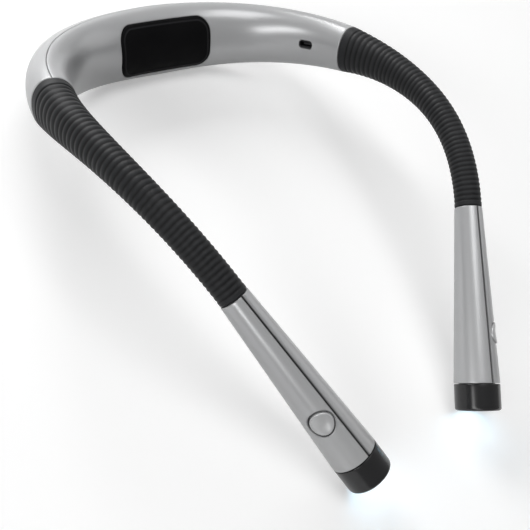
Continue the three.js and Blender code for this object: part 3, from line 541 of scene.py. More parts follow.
class RestPose:
    """How the light lies at rest: a tilt about x and a shift, read off two joints of the frame."""

    def __init__(self, joints: Sequence[dict], plan: ArmPlan) -> None:
        """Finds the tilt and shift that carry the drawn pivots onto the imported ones.

        Args:
            joints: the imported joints.
            plan: places of the drawn pivots.
        """
        packed = {joint["name"]: np.array(joint["pos_m"]) / MM for joint in joints if "pos_m" in joint}
        near, far = packed["right_yaw_1"], packed["right_pitch_3"]
        drawn_near, drawn_far = plan.pivots[1], plan.pivots[-1]
        leg, drawn_leg = far - near, drawn_far - drawn_near
        tilt = math.atan2(leg[2], leg[1]) - math.atan2(drawn_leg[2], drawn_leg[1])
        c, s = math.cos(tilt), math.sin(tilt)
        self.turn = np.array([[1, 0, 0], [0, c, -s], [0, s, c]])
        self.shift = (near + far - self.turn @ (drawn_near + drawn_far)) / 2
        LOG.info("rest tilt %.3f degrees, shift %s mm", math.degrees(tilt), self.shift.round(3))

    def metres(self, points: Array, side: Side = Side.RIGHT) -> Array:
        """Drawn points as they lie at rest, in metres.

        Args:
            points: points in millimetres about the middle of the band.
            side: LEFT mirrors them across the middle first.

        Returns:
            Points in metres in the frame's own axes.
        """
        return (points * np.array([side.value, 1, 1]) @ self.turn.T + self.shift) * MM


REST = RestPose(frame["joints"], ARM)


# Shells: curved walls with holes and pockets


@dataclass(frozen=True)
class Opening:
    """A hole or a pocket in a shell: all points within a radius of a core rectangle."""

    centre: Pair
    core: Pair
    radius: float
    rounding: float
    margin: float
    depth: float | None = None

    def reach(self, axis: int) -> float:
        """Half size of the room that it needs along one axis of the plane."""
        return self.core[axis] + self.radius + self.margin


# Where an opening's rings lie: shares of the way in from its block, of its lip's rounding, of the
# way down its side, and then of the way out along the back or in over a pocket's floor.
RUN_IN_RINGS = (0.3, 0.6, 0.85, 1.0)
LIP_RINGS = (0.75, 0.5, 0.3, 0.12, 0.0)
SIDE_RINGS = (0.2, 0.6, 1.0)
BACK_RINGS = (0.2, 0.6)
FLOOR_RINGS = (0.985, 0.9, 0.7, 0.4)

# The value "rim", which paints shade into the silver's grooves and openings: its share on the way in, how
# much of it is lost over the lip, and the drop at which it is full.
RUN_IN_SHADE = (0.0, 0.0, 0.1, 0.3)
LIP_SHADE_LOSS = 0.5
FULL_SHADE_DROP = 0.3


@dataclass
class Shell:
    """A curved wall: a face over a grid, its back at the wall's depth, and the edges between them."""

    rows: Array
    cols: Array
    wall: float
    place: Callable[..., Array]
    drop: Callable[..., Array]
    to_plane: Callable[..., Array]
    from_plane: Callable[..., tuple[Array, Array]]
    openings: Sequence[Opening] = ()
    edge_shade: float = 1.0

    def form(self) -> Form:
        """Builds the wall.

        The face lies at place(u, v, drop(u, v)) and the back at place(u, v, wall). Each opening
        takes a block out of the grid and fills it with rings that run from the block's border to
        the opening's outline, over its rounded lip and down its side.

        Returns:
            The closed form, with a value "rim" of painted shade that rises from 0 on the face to 1 in its
            openings.
        """
        u, v = np.meshgrid(self.rows, self.cols, indexing="ij")
        count = u.size
        drop = self.drop(u, v)
        numbers = np.arange(count).reshape(u.shape)
        points = [self.place(u, v, d).reshape(-1, 3) for d in (drop, np.full(u.shape, self.wall))]
        # Painted shade: "rim" darkens the paint where the face drops over its rounded edges, on the back, and
        # in the openings.
        rim = [self.edge_shade * np.clip(drop / FULL_SHADE_DROP, 0, 1).ravel(), np.ones(count)]
        border = self.border(numbers)
        strip = np.stack([np.roll(border, -1), border, border + count, np.roll(border, -1) + count], -1)
        front = np.ones((u.shape[0] - 1, u.shape[1] - 1), bool)
        back = front.copy()
        added, fans = [], []
        total = 2 * count
        for opening in self.openings:
            block = self.block(u, v, opening)
            front[block] = False
            loop = self.border(numbers[tuple(slice(part.start, part.stop + 1) for part in block)])
            starts = self.to_plane(u.ravel()[loop], v.ravel()[loop])
            plane, depth, edge = self.opening_rings(starts, drop.ravel()[loop], opening)
            points += [self.place(*self.from_plane(p), d + np.zeros(len(p))) for p, d in zip(plane, depth)]
            rim.append(np.repeat(edge, len(loop)))
            rings = total + np.arange(len(plane) * len(loop)).reshape(len(plane), -1)
            total += rings.size
            if opening.depth is None:
                back[block] = False
                added.append(ring_faces(np.concatenate([loop[None], rings, loop[None] + count])))
                continue
            added.append(ring_faces(np.concatenate([loop[None], rings])))
            middle = np.array([opening.centre])
            points.append(self.place(*self.from_plane(middle), np.full(1, opening.depth)))
            rim.append(np.ones(1))
            fans.append(fan_faces(rings[-1], total, False))
            total += 1
        faces = grid_faces(*u.shape)
        quads = [faces[front.ravel()], faces[back.ravel()][:, ::-1] + count, strip, *added]
        tris = np.concatenate(fans) if fans else np.empty((0, 3), int)
        return Form(np.concatenate(points), np.concatenate(quads), tris, {"rim": np.concatenate(rim)})

    @staticmethod
    def border(numbers: Array) -> Array:
        """Point numbers round a block of the grid, in the order in which its own faces meet them."""
        return np.concatenate([numbers[0, :-1], numbers[:-1, -1], numbers[-1, :0:-1], numbers[:0:-1, 0]])

    def block(self, u: Array, v: Array, opening: Opening) -> tuple[slice, slice]:
        """The cells that an opening takes out.

        Args:
            u: first parameter over the grid.
            v: second parameter over the grid.
            opening: the hole or pocket.

        Returns:
            Ranges of cells by row and column.
        """
        plane = self.to_plane(u, v) - np.array(opening.centre)
        inside = (np.abs(plane[..., 0]) < opening.reach(0)) & (np.abs(plane[..., 1]) < opening.reach(1))
        in_rows, in_cols = np.nonzero(inside.any(1))[0], np.nonzero(inside.any(0))[0]
        return slice(in_rows[0] - 1, in_rows[-1] + 1), slice(in_cols[0] - 1, in_cols[-1] + 1)

    def opening_rings(self, starts: Array, drop: Array, opening: Opening) -> tuple[list, list, list]:
        """Rings from a block's border into an opening.

        With c the nearest point of the core and n the direction from it, the outline is c + r n,
        and the lip's rings lie at c + (r + e) n with the drop of a rounded edge at e.

        Args:
            starts: the border's points on the plane.
            drop: how far the border's points lie under the face.
            opening: the hole or pocket.

        Returns:
            Points of each ring on the plane, its depth, and its share of the painted shade, which grows
            towards the edge.
        """
        middle = np.array(opening.centre)
        core = np.clip(starts - middle, -np.array(opening.core), np.array(opening.core))
        ray = unit(starts - middle - core)
        outline = middle + core + ray * opening.radius
        lip = outline + ray * opening.rounding
        plane = [starts + (lip - starts) * t for t in RUN_IN_RINGS]
        depth, edge = [drop * (1 - t) for t in RUN_IN_RINGS], [*RUN_IN_SHADE]
        for share in LIP_RINGS:
            off = opening.rounding * share
            plane.append(outline + ray * off)
            depth.append(float(rounded_drop(np.array(off), opening.rounding)))
            edge.append(1 - LIP_SHADE_LOSS * share)
        through_wall = opening.depth is None
        floor = self.wall if through_wall else opening.depth
        plane += [outline] * len(SIDE_RINGS)
        depth += [opening.rounding + (floor - opening.rounding) * share for share in SIDE_RINGS]
        if through_wall:
            last = [outline + (starts - outline) * t for t in BACK_RINGS]
        else:
            last = [middle + (outline - middle) * t for t in FLOOR_RINGS]
        plane += last
        depth += [floor] * len(last)
        return plane, depth, edge + [1.0] * (len(SIDE_RINGS) + len(last))


# Finishes


class Desk:
    """Lays out the nodes of a material or of the world."""

    def __init__(self, tree: bpy.types.NodeTree) -> None:
        """Starts on a tree of nodes."""
        self.nodes, self.links = tree.nodes, tree.links

    def join(self, value: Socket | float | Triple, entry: Socket) -> None:
        """Joins a socket to a node's input, or sets the input.

        Args:
            value: the socket, number or colour.
            entry: the input.
        """
        if isinstance(value, Socket):
            self.links.new(value, entry)
        else:
            entry.default_value = (*value, 1) if isinstance(value, tuple) else value

    def feed(self, node: bpy.types.Node, **inputs: Socket | float | Triple) -> bpy.types.Node:
        """Joins or sets inputs of a node, with underscores for spaces in their names.

        Args:
            node: the node.
            inputs: a socket, number or colour for each input.

        Returns:
            The node.
        """
        for key, value in inputs.items():
            self.join(value, node.inputs[key.replace("_", " ")])
        return node

    def put(self, kind: str, **inputs: Socket | float | Triple) -> bpy.types.Node:
        """Adds a shader node of a kind and feeds its inputs."""
        return self.feed(self.nodes.new(f"ShaderNode{kind}"), **inputs)

    def seen(self) -> Socket:
        """Tells what is seen, plainly, in a gloss or through glass, from light that only falls on things.

        Returns:
            A socket that is 1 where it is seen and 0 elsewhere.
        """
        path = self.put("LightPath")
        share = path.outputs["Is Camera Ray"]
        for name in ("Is Glossy Ray", "Is Transmission Ray"):
            either = self.put("Math")
            either.operation = "MAXIMUM"
            self.join(share, either.inputs[0])
            self.join(path.outputs[name], either.inputs[1])
            share = either.outputs[0]
        return share


class MaterialDesk(Desk):
    """Lays out one material's nodes about its principled shader."""

    def __init__(self, name: str) -> None:
        """Starts a material.

        Args:
            name: its name.
        """
        self.material = bpy.data.materials.new(name)
        self.material.use_nodes = True
        super().__init__(self.material.node_tree)
        self.place = self.put("TexCoord").outputs["Object"]

    def noise(self, scale: float, detail: float = 2.0) -> Socket:
        """A noise over the piece, with its cycles in a metre and its octaves."""
        return self.put("TexNoise", Vector=self.place, Scale=scale, Detail=detail).outputs["Fac"]

    def spread(self, value: Socket, low: float, high: float, start: float = 0.3, end: float = 0.7) -> Socket:
        """Carries start..end of a value to low..high."""
        ranged = self.put("MapRange", Value=value, From_Min=start, From_Max=end, To_Min=low, To_Max=high)
        return ranged.outputs["Result"]

    def blend(self, share: Socket, a: Triple | Socket, b: Triple | Socket) -> Socket:
        """Mixes two colours.

        Args:
            share: share of the second.
            a: first colour.
            b: second colour.

        Returns:
            The socket of the mixed colour.
        """
        mix = self.put("Mix")
        mix.data_type = "RGBA"
        for value, entry in ((share, 0), (a, 6), (b, 7)):
            self.join(value, mix.inputs[entry])
        return mix.outputs[2]

    def value(self, name: str) -> Socket:
        """Reads a value that the piece's mesh carries.

        Args:
            name: name of the value.

        Returns:
            The socket that carries it.
        """
        reader = self.put("Attribute")
        reader.attribute_name = name
        return reader.outputs["Fac"]

    def relief(self, *heights: tuple[Socket, float]) -> Socket:
        """Fine relief: each height in turn bumps the surface that the last one left.

        Args:
            heights: sockets from 0 to 1 and how many metres 1 stands for.

        Returns:
            The socket of the bumped normal.
        """
        last = {}
        for socket, distance in heights:
            last = {"Normal": self.put("Bump", Height=socket, Distance=distance, **last).outputs["Normal"]}
        return last["Normal"]

    def shaded(self, **inputs: Socket | float | Triple) -> bpy.types.Material:
        """Feeds the shader and hands over the material."""
        self.feed(self.nodes["Principled BSDF"], **inputs)
        return self.material


@dataclass(frozen=True)
class Finish:
    """A finish: two close colours in soft patches, a fine grain, and an uneven gloss.

    Sizes of the pattern are in cycles a metre and depths in metres. The gloss varies three times as
    finely as the patches, which rise twice as high as the grain. Where the mesh carries the named
    value, the colour goes over to `edge` with it. The slot, the record's for new pieces, is not used.
    """

    name: str
    colour: Triple
    shade: Triple
    patches: float
    gloss: Pair
    grain: float
    grain_depth: float
    slot: str = ""
    metal: float = 0.0
    coat: float = 0.0
    coat_gloss: float = 0.12
    sheen: float = 0.0
    level: float = 0.5
    value: str = ""
    edge: Triple = (0, 0, 0)
    painted_light_share: float = 1.0

    def material(self) -> bpy.types.Material:
        """Builds the finish's nodes.

        Returns:
            The material.
        """
        desk = MaterialDesk(self.name)
        patches = desk.noise(self.patches, 3)
        colour = desk.blend(desk.spread(patches, 0, 1), self.colour, self.shade)
        # The named value paints light: the colour goes over to `edge` with it, as painted shade in grooves,
        # openings and rib valleys, and as a painted highlight on the pad's raised line.
        if self.value:
            share = desk.spread(desk.value(self.value), 0, self.painted_light_share, 0, 1)
            colour = desk.blend(share, colour, self.edge)
        return desk.shaded(
            Base_Color=colour, Roughness=desk.spread(desk.noise(self.patches * 3, 4), *self.gloss),
            Normal=desk.relief((patches, self.grain_depth * 2), (desk.noise(self.grain), self.grain_depth)),
            Metallic=self.metal, Coat_Weight=self.coat, Coat_Roughness=self.coat_gloss,
            Sheen_Weight=self.sheen, Specular_IOR_Level=self.level,
        )


# Satin silver paint. The value "rim" darkens it towards `edge` in the parting grooves, round the pad, in the
# port and in the button's well: painted shade.
SILVER = Finish(
    "satin_silver", (0.57, 0.575, 0.58), (0.54, 0.545, 0.555), 18, (0.28, 0.32), 3800, 2e-6, "silver",
    metal=0.3, level=0.45, value="rim", edge=(0.1, 0.1, 0.103), painted_light_share=0.85,
)
BUTTON_SILVER = Finish(
    "button_silver", (0.6, 0.605, 0.61), (0.57, 0.575, 0.58), 60, (0.28, 0.32), 4200, 2e-6, "button",
    metal=0.3, level=0.45,
)
# Ribbed rubber. The value "valley" darkens it towards `edge` between the ribs: painted shade.
SLEEVE_RUBBER = Finish(
    "ribbed_rubber", (0.03, 0.031, 0.033), (0.022, 0.023, 0.025), 40, (0.48, 0.58), 2600, 2e-5, "sleeve",
    sheen=0.03, level=0.18, value="valley", edge=(0.004, 0.004, 0.0045), painted_light_share=0.95,
)
# Neck pad rubber. The value "ridge" lightens it towards `edge` along the raised line: a painted highlight.
PAD_RUBBER = Finish(
    "pad_rubber", (0.005, 0.005, 0.0055), (0.0035, 0.0035, 0.004), 70, (0.5, 0.66), 1900, 3e-5, "pad",
    level=0.06, value="ridge", edge=(0.03, 0.03, 0.032), painted_light_share=0.8,
)
CAP_BLACK = Finish(
    "polished_black", (0.012, 0.012, 0.013), (0.009, 0.009, 0.01), 40, (0.2, 0.24), 2500, 2e-6, "cap",
)
NYLON = Finish("filled_nylon", (0.045, 0.047, 0.05), (0.035, 0.036, 0.038), 120, (0.42, 0.55), 3000, 1.2e-5)
DARK_NICKEL = Finish(
    "dark_nickel", (0.03, 0.03, 0.032), (0.02, 0.02, 0.021), 300, (0.35, 0.45), 5000, 3e-6, metal=0.5,
)
STEEL = Finish(
    "bright_steel", (0.55, 0.56, 0.57), (0.48, 0.49, 0.5), 90, (0.22, 0.34), 5000, 4e-6, metal=1.0,
)
CHROME = Finish(
    "plated_cup", (0.8, 0.81, 0.82), (0.75, 0.76, 0.78), 60, (0.06, 0.1), 900, 1e-6, "reflector", metal=1.0,
)
BOARD = Finish(
    "board_green", (0.02, 0.12, 0.055), (0.03, 0.16, 0.07), 900, (0.3, 0.42), 4000, 1e-5, coat=0.3,
)
POUCH = Finish("foil_pouch", (0.45, 0.48, 0.52), (0.38, 0.41, 0.45), 150, (0.28, 0.42), 700, 4e-5, metal=0.7)
INSULATION = Finish(
    "red_insulation", (0.35, 0.02, 0.02), (0.28, 0.015, 0.015), 200, (0.35, 0.48), 2500, 1e-5, "lead",
)
PHOSPHOR = Finish("phosphor", (0.85, 0.72, 0.25), (0.8, 0.66, 0.2), 900, (0.45, 0.6), 6000, 2e-5)


@dataclass(frozen=True)
class LampGlass:
    """A clear lens that is lit from behind: cool white, brightest in the middle."""

    name: str = "lit_lens"
    slot: str = "lens"
    tint: Triple = (0.78, 0.93, 1.0)
    shade: Triple = (0.7, 0.9, 1.0)
    middle_glow: Triple = (0.93, 0.98, 1.0)
    glow: Triple = (0.55, 0.83, 1.0)
    strength: float = 1.6
    ripple: float = 420
    ripple_depth: float = 4e-6
    gloss: float = 0.08
    bending: float = 1.49
    clearness: float = 0.35

    def material(self) -> bpy.types.Material:
        """Builds the lens's nodes.

        Returns:
            The material.
        """
        desk = MaterialDesk(self.name)
        ripple = desk.noise(self.ripple)
        return desk.shaded(
            Base_Color=desk.blend(desk.spread(ripple, 0, 1), self.tint, self.shade),
            Emission_Color=desk.blend(desk.value("middle"), self.glow, self.middle_glow),
            Emission_Strength=self.strength, Normal=desk.relief((ripple, self.ripple_depth)),
            Roughness=self.gloss, IOR=self.bending, Transmission_Weight=self.clearness,
        )


@cache
def paint(finish: Finish | LampGlass) -> bpy.types.Material:
    """The material of a finish, built once."""
    return finish.material()


def add_piece(
    name: str, form: Form, finish: Finish | LampGlass, side: Side = Side.RIGHT, body: str = "", node: str = ""
) -> Piece:
    """Puts a form into a new object at the origin, with its faces outwards, and dresses it.

    It is cut off flat at the level that the light stands on.

    Args:
        name: name of the piece.
        form: the form, drawn on the right side.
        finish: its finish.
        side: side of the light that it belongs to.
        body: the body that it rides on, if it is a single one.
        node: the solid that it stands for, if any.

    Returns:
        The piece.
    """
    points = REST.metres(form.points, side)
    points[:, 2] = np.maximum(points[:, 2], 0)
    quads, tris = form.quads, form.tris
    split = np.concatenate([quads[:, [0, 1, 2]], quads[:, [0, 2, 3]], tris])
    a, b, c = (points[split[:, k]] - points.mean(0) for k in range(3))
    if np.einsum("ij,ij->", a, np.cross(b, c)) < 0:
        quads, tris = quads[:, ::-1], tris[:, ::-1]
    corners = np.concatenate([quads.ravel(), tris.ravel()]).astype(np.int32)
    starts = np.concatenate([np.arange(len(quads)) * 4, quads.size + np.arange(len(tris)) * 3])
    mesh = bpy.data.meshes.new(name)
    mesh.vertices.add(len(points))
    mesh.vertices.foreach_set("co", points.astype(np.float32).ravel())
    mesh.loops.add(len(corners))
    mesh.loops.foreach_set("vertex_index", corners)
    mesh.polygons.add(len(starts))
    mesh.polygons.foreach_set("loop_start", starts.astype(np.int32))
    mesh.polygons.foreach_set("use_smooth", np.ones(len(starts), bool))
    mesh.update(calc_edges=True)
    mesh.validate()
    mesh.set_sharp_from_angle(angle=SHARP_ANGLE)
    for key, value in form.values.items():
        mesh.attributes.new(key, "FLOAT", "POINT").data.foreach_set("value", value.astype(np.float32))
    mesh.materials.append(paint(finish))
    piece = bpy.data.objects.new(name, mesh)
    bpy.context.scene.collection.objects.link(piece)
    if body:
        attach(piece, body)
    if node:
        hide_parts(node)
    LOG.info("%s: %d points, %d faces, in %s", name, len(points), len(starts), finish.name)
    return piece


# The band


# Shares of a rounding at which points lie, along the light and round its section.
CLOSING = np.array([0, 0.05, 0.15, 0.3, 0.5, 0.75, 1.0])
PARTING = np.array([0, 0.04, 0.13, 0.27, 0.45, 0.7, 1.0])

# The leads' radius and the step along them.
LEAD_R = 0.5
LEAD_STEP = 0.8


@dataclass
class Band:
    """The stiff band: two half shells, the neck pad let into the inner one, and the cell's lead."""

    outer_wall: float = 1.6
    inner_wall: float = 2.4
    edge_round: float = 0.3
    end_round: float = 0.4
    edge_shade: float = 0.3
    seam: float = 0.12
    row_step: float = 0.8
    columns: int = 92
    mean_half: float = 9.4
    pad_half_length: float = 26.2
    pad_top: float = 11.4
    pad_bottom: float = -12.8
    pad_corner: float = 7.5
    pad_proud: float = 0.6
    pad_roll: float = 0.75
    pad_crown: float = 0.4
    crown_start: float = 1.8
    crown_rise: float = 3.0
    line_in: float = 1.55
    line_wide: float = 0.38
    line_high: float = 0.24
    corner_steps: int = 14
    side_steps: tuple[int, int] = (64, 24)
    recess_depth: float = 1.4
    board_place: float = 80.5
    socket_shift: float = 2.0
    port: Pair = (7.6, 3.8)
    port_surround: float = 3.0
    battery_lead_r: float = 0.8
    cell_end: float = 19.0
    board_half: float = 8.0
    board_level: float = -1.7

    def build(self) -> None:
        """Builds and dresses the band's own pieces."""
        self.shell(True)
        self.shell(False)
        self.pad()
        self.battery_lead()

    def rows(self) -> Array:
        """Stations along the band, close together at its ends and round the port.

        Returns:
            Distances from its middle in order.
        """
        half = SHAPE.band_half - SHAPE.gap / 2
        rows = stations(half, self.end_round * CLOSING, int(2 * half / self.row_step))
        off = np.abs(rows - self.board_place - self.socket_shift)
        near = off < self.port[0] / 2 + self.port_surround
        between = (rows[:-1] + rows[1:]) / 2
        return np.union1d(rows, between[near[:-1] & near[1:]])

    def shell(self, away: bool) -> None:
        """Builds one half shell, which parts from the other in the middle of its section.

        Near a parting edge, the angle at a distance x from the parting plane lies (x / w)^(p / 2)
        before the quarter turn.

        Args:
            away: whether it is the half away from the neck.
        """
        word = "outer" if away else "inner"
        middle = 0.0 if away else HALF_TURN
        shift = (1 if away else -1) * self.seam / 2
        half = SHAPE.band_half - SHAPE.gap / 2

        def place(s: Array, angle: Array, inset: Array) -> Array:
            """A point of the wall, moved off the parting plane by half the seam."""
            x, y = LINE.outline(s, angle, inset)
            return LINE.frames(s).point(x + shift, y)

        def drop(s: Array, angle: Array) -> Array:
            """The drop of the rounded parting edges and of the rounded ends."""
            to_parting, to_end = np.abs(LINE.outline(s, angle, 0.0)[0]), half - np.abs(s)
            return np.maximum(rounded_drop(to_parting, self.edge_round), rounded_drop(to_end, self.end_round))

        def to_plane(s: Array, angle: Array) -> Array:
            """Distance along the band and height on its section."""
            return np.stack([s, LINE.outline(s, angle, 0.0)[1]], -1)

        def from_plane(plane: Array) -> tuple[Array, Array]:
            """The station and the angle whose sine is (y / h)^(p / 2).

            Args:
                plane: distances along the band and heights.

            Returns:
                The stations and the angles.
            """
            s, y = plane.T
            _, high, power = LINE.section(s)
            rise = np.arcsin(np.sign(y) * np.clip(np.abs(y) / high, 0, 1) ** (power / 2))
            return s, rise if away else HALF_TURN - rise

        pad_half = (self.pad_top - self.pad_bottom) / 2
        port_round = self.port[1] / 2 - SHAPE.gap
        openings = [] if away else [
            Opening(
                (0.0, (self.pad_top + self.pad_bottom) / 2),
                (self.pad_half_length - self.pad_corner, pad_half - self.pad_corner),
                self.pad_corner + SHAPE.gap / 2, rounding=0.2, margin=0.8, depth=self.recess_depth,
            ),
            Opening(
                (self.board_place + self.socket_shift, 0.0),
                (self.port[0] / 2 - port_round, self.port[1] / 2 - port_round),
                port_round, rounding=0.25, margin=0.9,
            ),
        ]
        near = (self.edge_round * PARTING / self.mean_half) ** (SHAPE.square_power / 2)
        angles = middle + stations(QUARTER_TURN, near, self.columns)
        wall = self.outer_wall if away else self.inner_wall
        shell = Shell(self.rows(), angles, wall, place, drop, to_plane, from_plane, openings, self.edge_shade)
        add_piece(f"{word}_shell_skin", shell.form(), SILVER, body="band", node=f"band_{word}_shell")

    def pad(self) -> None:
        """Builds the neck pad: a crowned face with a rolled edge and a raised line just inside it.

        At a distance e inside the outline the face stands proud by the roll -r + sqrt(r^2 - (r - e)^2),
        plus a ridge a exp(-((e - e0) / w)^2), plus a crown c (1 - (x / a)^2)(1 - (y / b)^2).
        """
        half = np.array([self.pad_half_length, (self.pad_top - self.pad_bottom) / 2])
        middle = np.array([0.0, (self.pad_top + self.pad_bottom) / 2])
        core, ray = self.rounded_loop(half - self.pad_corner)

        def loops(insets: Sequence[float], shares: Sequence[float]) -> Array:
            """Loops at distances inside the outline, then the innermost one shrunk to shares of its size."""
            outer = core + ray * (self.pad_corner - np.array(insets))[:, None, None]
            return middle + np.concatenate([outer, core * np.array(shares)[:, None, None]])

        # The loops lie closest over the rolled edge and the raised line.
        inside = np.concatenate([
            over_edge(self.pad_roll, 8), np.linspace(0.9, 3, 18), np.linspace(3.3, self.pad_corner, 8),
        ])
        shares = np.linspace(0.94, 0.12, 14)
        face = loops(inside, shares)
        under = loops((0.05, 0.2), (1.0, 0.5, 0.1))[::-1]
        distance = np.concatenate([inside, np.full(len(shares), self.pad_corner + 1)])
        ridge = np.exp(-(((distance - self.line_in) / self.line_wide) ** 2))
        swell = np.prod(1 - ((face - middle) / half) ** 2, -1)
        swell = swell * smooth((distance - self.crown_start) / self.crown_rise)[:, None]
        proud = self.pad_proud - rounded_drop(distance, self.pad_roll) + self.line_high * ridge
        proud = proud[:, None] + self.pad_crown * swell
        sink = self.recess_depth - SHAPE.gap
        inset = np.concatenate([np.full((len(under), len(core)), sink), -proud])
        s, y = np.moveaxis(np.concatenate([under, face]), -1, 0)
        wide, high, power = LINE.section(s)
        bulge = (1 - np.clip(np.abs(y) / (high - inset), 0, 1) ** power) ** (1 / power)
        rings = LINE.frames(s).point(-(wide - inset) * bulge, y)
        wide, high, power = LINE.section(0.0)
        bulge = (1 - np.abs(middle[1] / high) ** power) ** (1 / power)
        ends = np.array([sink, -self.pad_proud - self.pad_crown])
        poles = LINE.frames(np.zeros(2)).point(-(wide - ends) * bulge, np.full(2, middle[1]))
        form = capped(rings, poles)
        # Painted highlight: the raised line's colour is lightened by "ridge".
        marks = np.repeat(np.concatenate([np.zeros(len(under)), ridge]), len(core))
        form.values["ridge"] = np.concatenate([marks, np.zeros(2)])
        piece = add_piece("neck_pad_skin", form, PAD_RUBBER, body="band", node="neck_pad")

    def rounded_loop(self, core: Array) -> tuple[Array, Array]:
        """Points round a rectangle and the outward directions there, turned evenly at its corners.

        Args:
            core: half sizes of the rectangle.

        Returns:
            Points and unit directions, in order round the loop.
        """
        corners = core * np.array([(1, 1), (-1, 1), (-1, -1), (1, -1)])
        points, rays = [], []
        for k, corner in enumerate(corners):
            angle = (k + np.linspace(0, 1, self.corner_steps)) * QUARTER_TURN
            count = self.side_steps[k % 2]
            t = (np.arange(1, count) / count)[:, None]
            points += [np.repeat(corner[None], len(angle), 0), corner + (corners[(k + 1) % 4] - corner) * t]
            rays.append(np.stack([np.cos(angle), np.sin(angle)], -1))
            rays.append(np.repeat(rays[-1][-1:], count - 1, 0))
        return np.concatenate(points), np.concatenate(rays)

    def battery_lead(self) -> None:
        """Builds the lead from the cell to the control board."""
        end, radius, half = self.board_place - self.board_half, self.battery_lead_r, SHAPE.band_half
        lift = self.board_level + radius + SHAPE.gap
        route = inside_band([
            (self.cell_end + SHAPE.gap, 2, 5), (25.7, 2, 5), (half * 0.33, 2, radius), (half * 0.5, 2, 0),
            (half * 0.63, 2, 0), (end, 2, lift), (end + 2, 2, lift),
        ])
        form = wire(through(route, LEAD_STEP), radius)
        add_piece("battery_lead_wire", form, INSULATION, body="band", node="battery_lead")


def inside_band(rows: Sequence[Triple]) -> Array:
    """Points inside the band from rows of distance along it, x and y on its section."""
    s, x, y = np.array(rows, float).T
    return LINE.frames(s).point(x, y)


# The arms


@dataclass(frozen=True)
class Cuff:
    """A sleeve's smooth end: its length, the even run in it, points there and beyond, and its fade."""

    length: float
    run: float
    points: int
    joins: int
    fade: float


BAND_CUFF = Cuff(4.5, 3.5, 8, 8, 0.7)
HEAD_CUFF = Cuff(2.3, 1.7, 5, 7, 0.6)


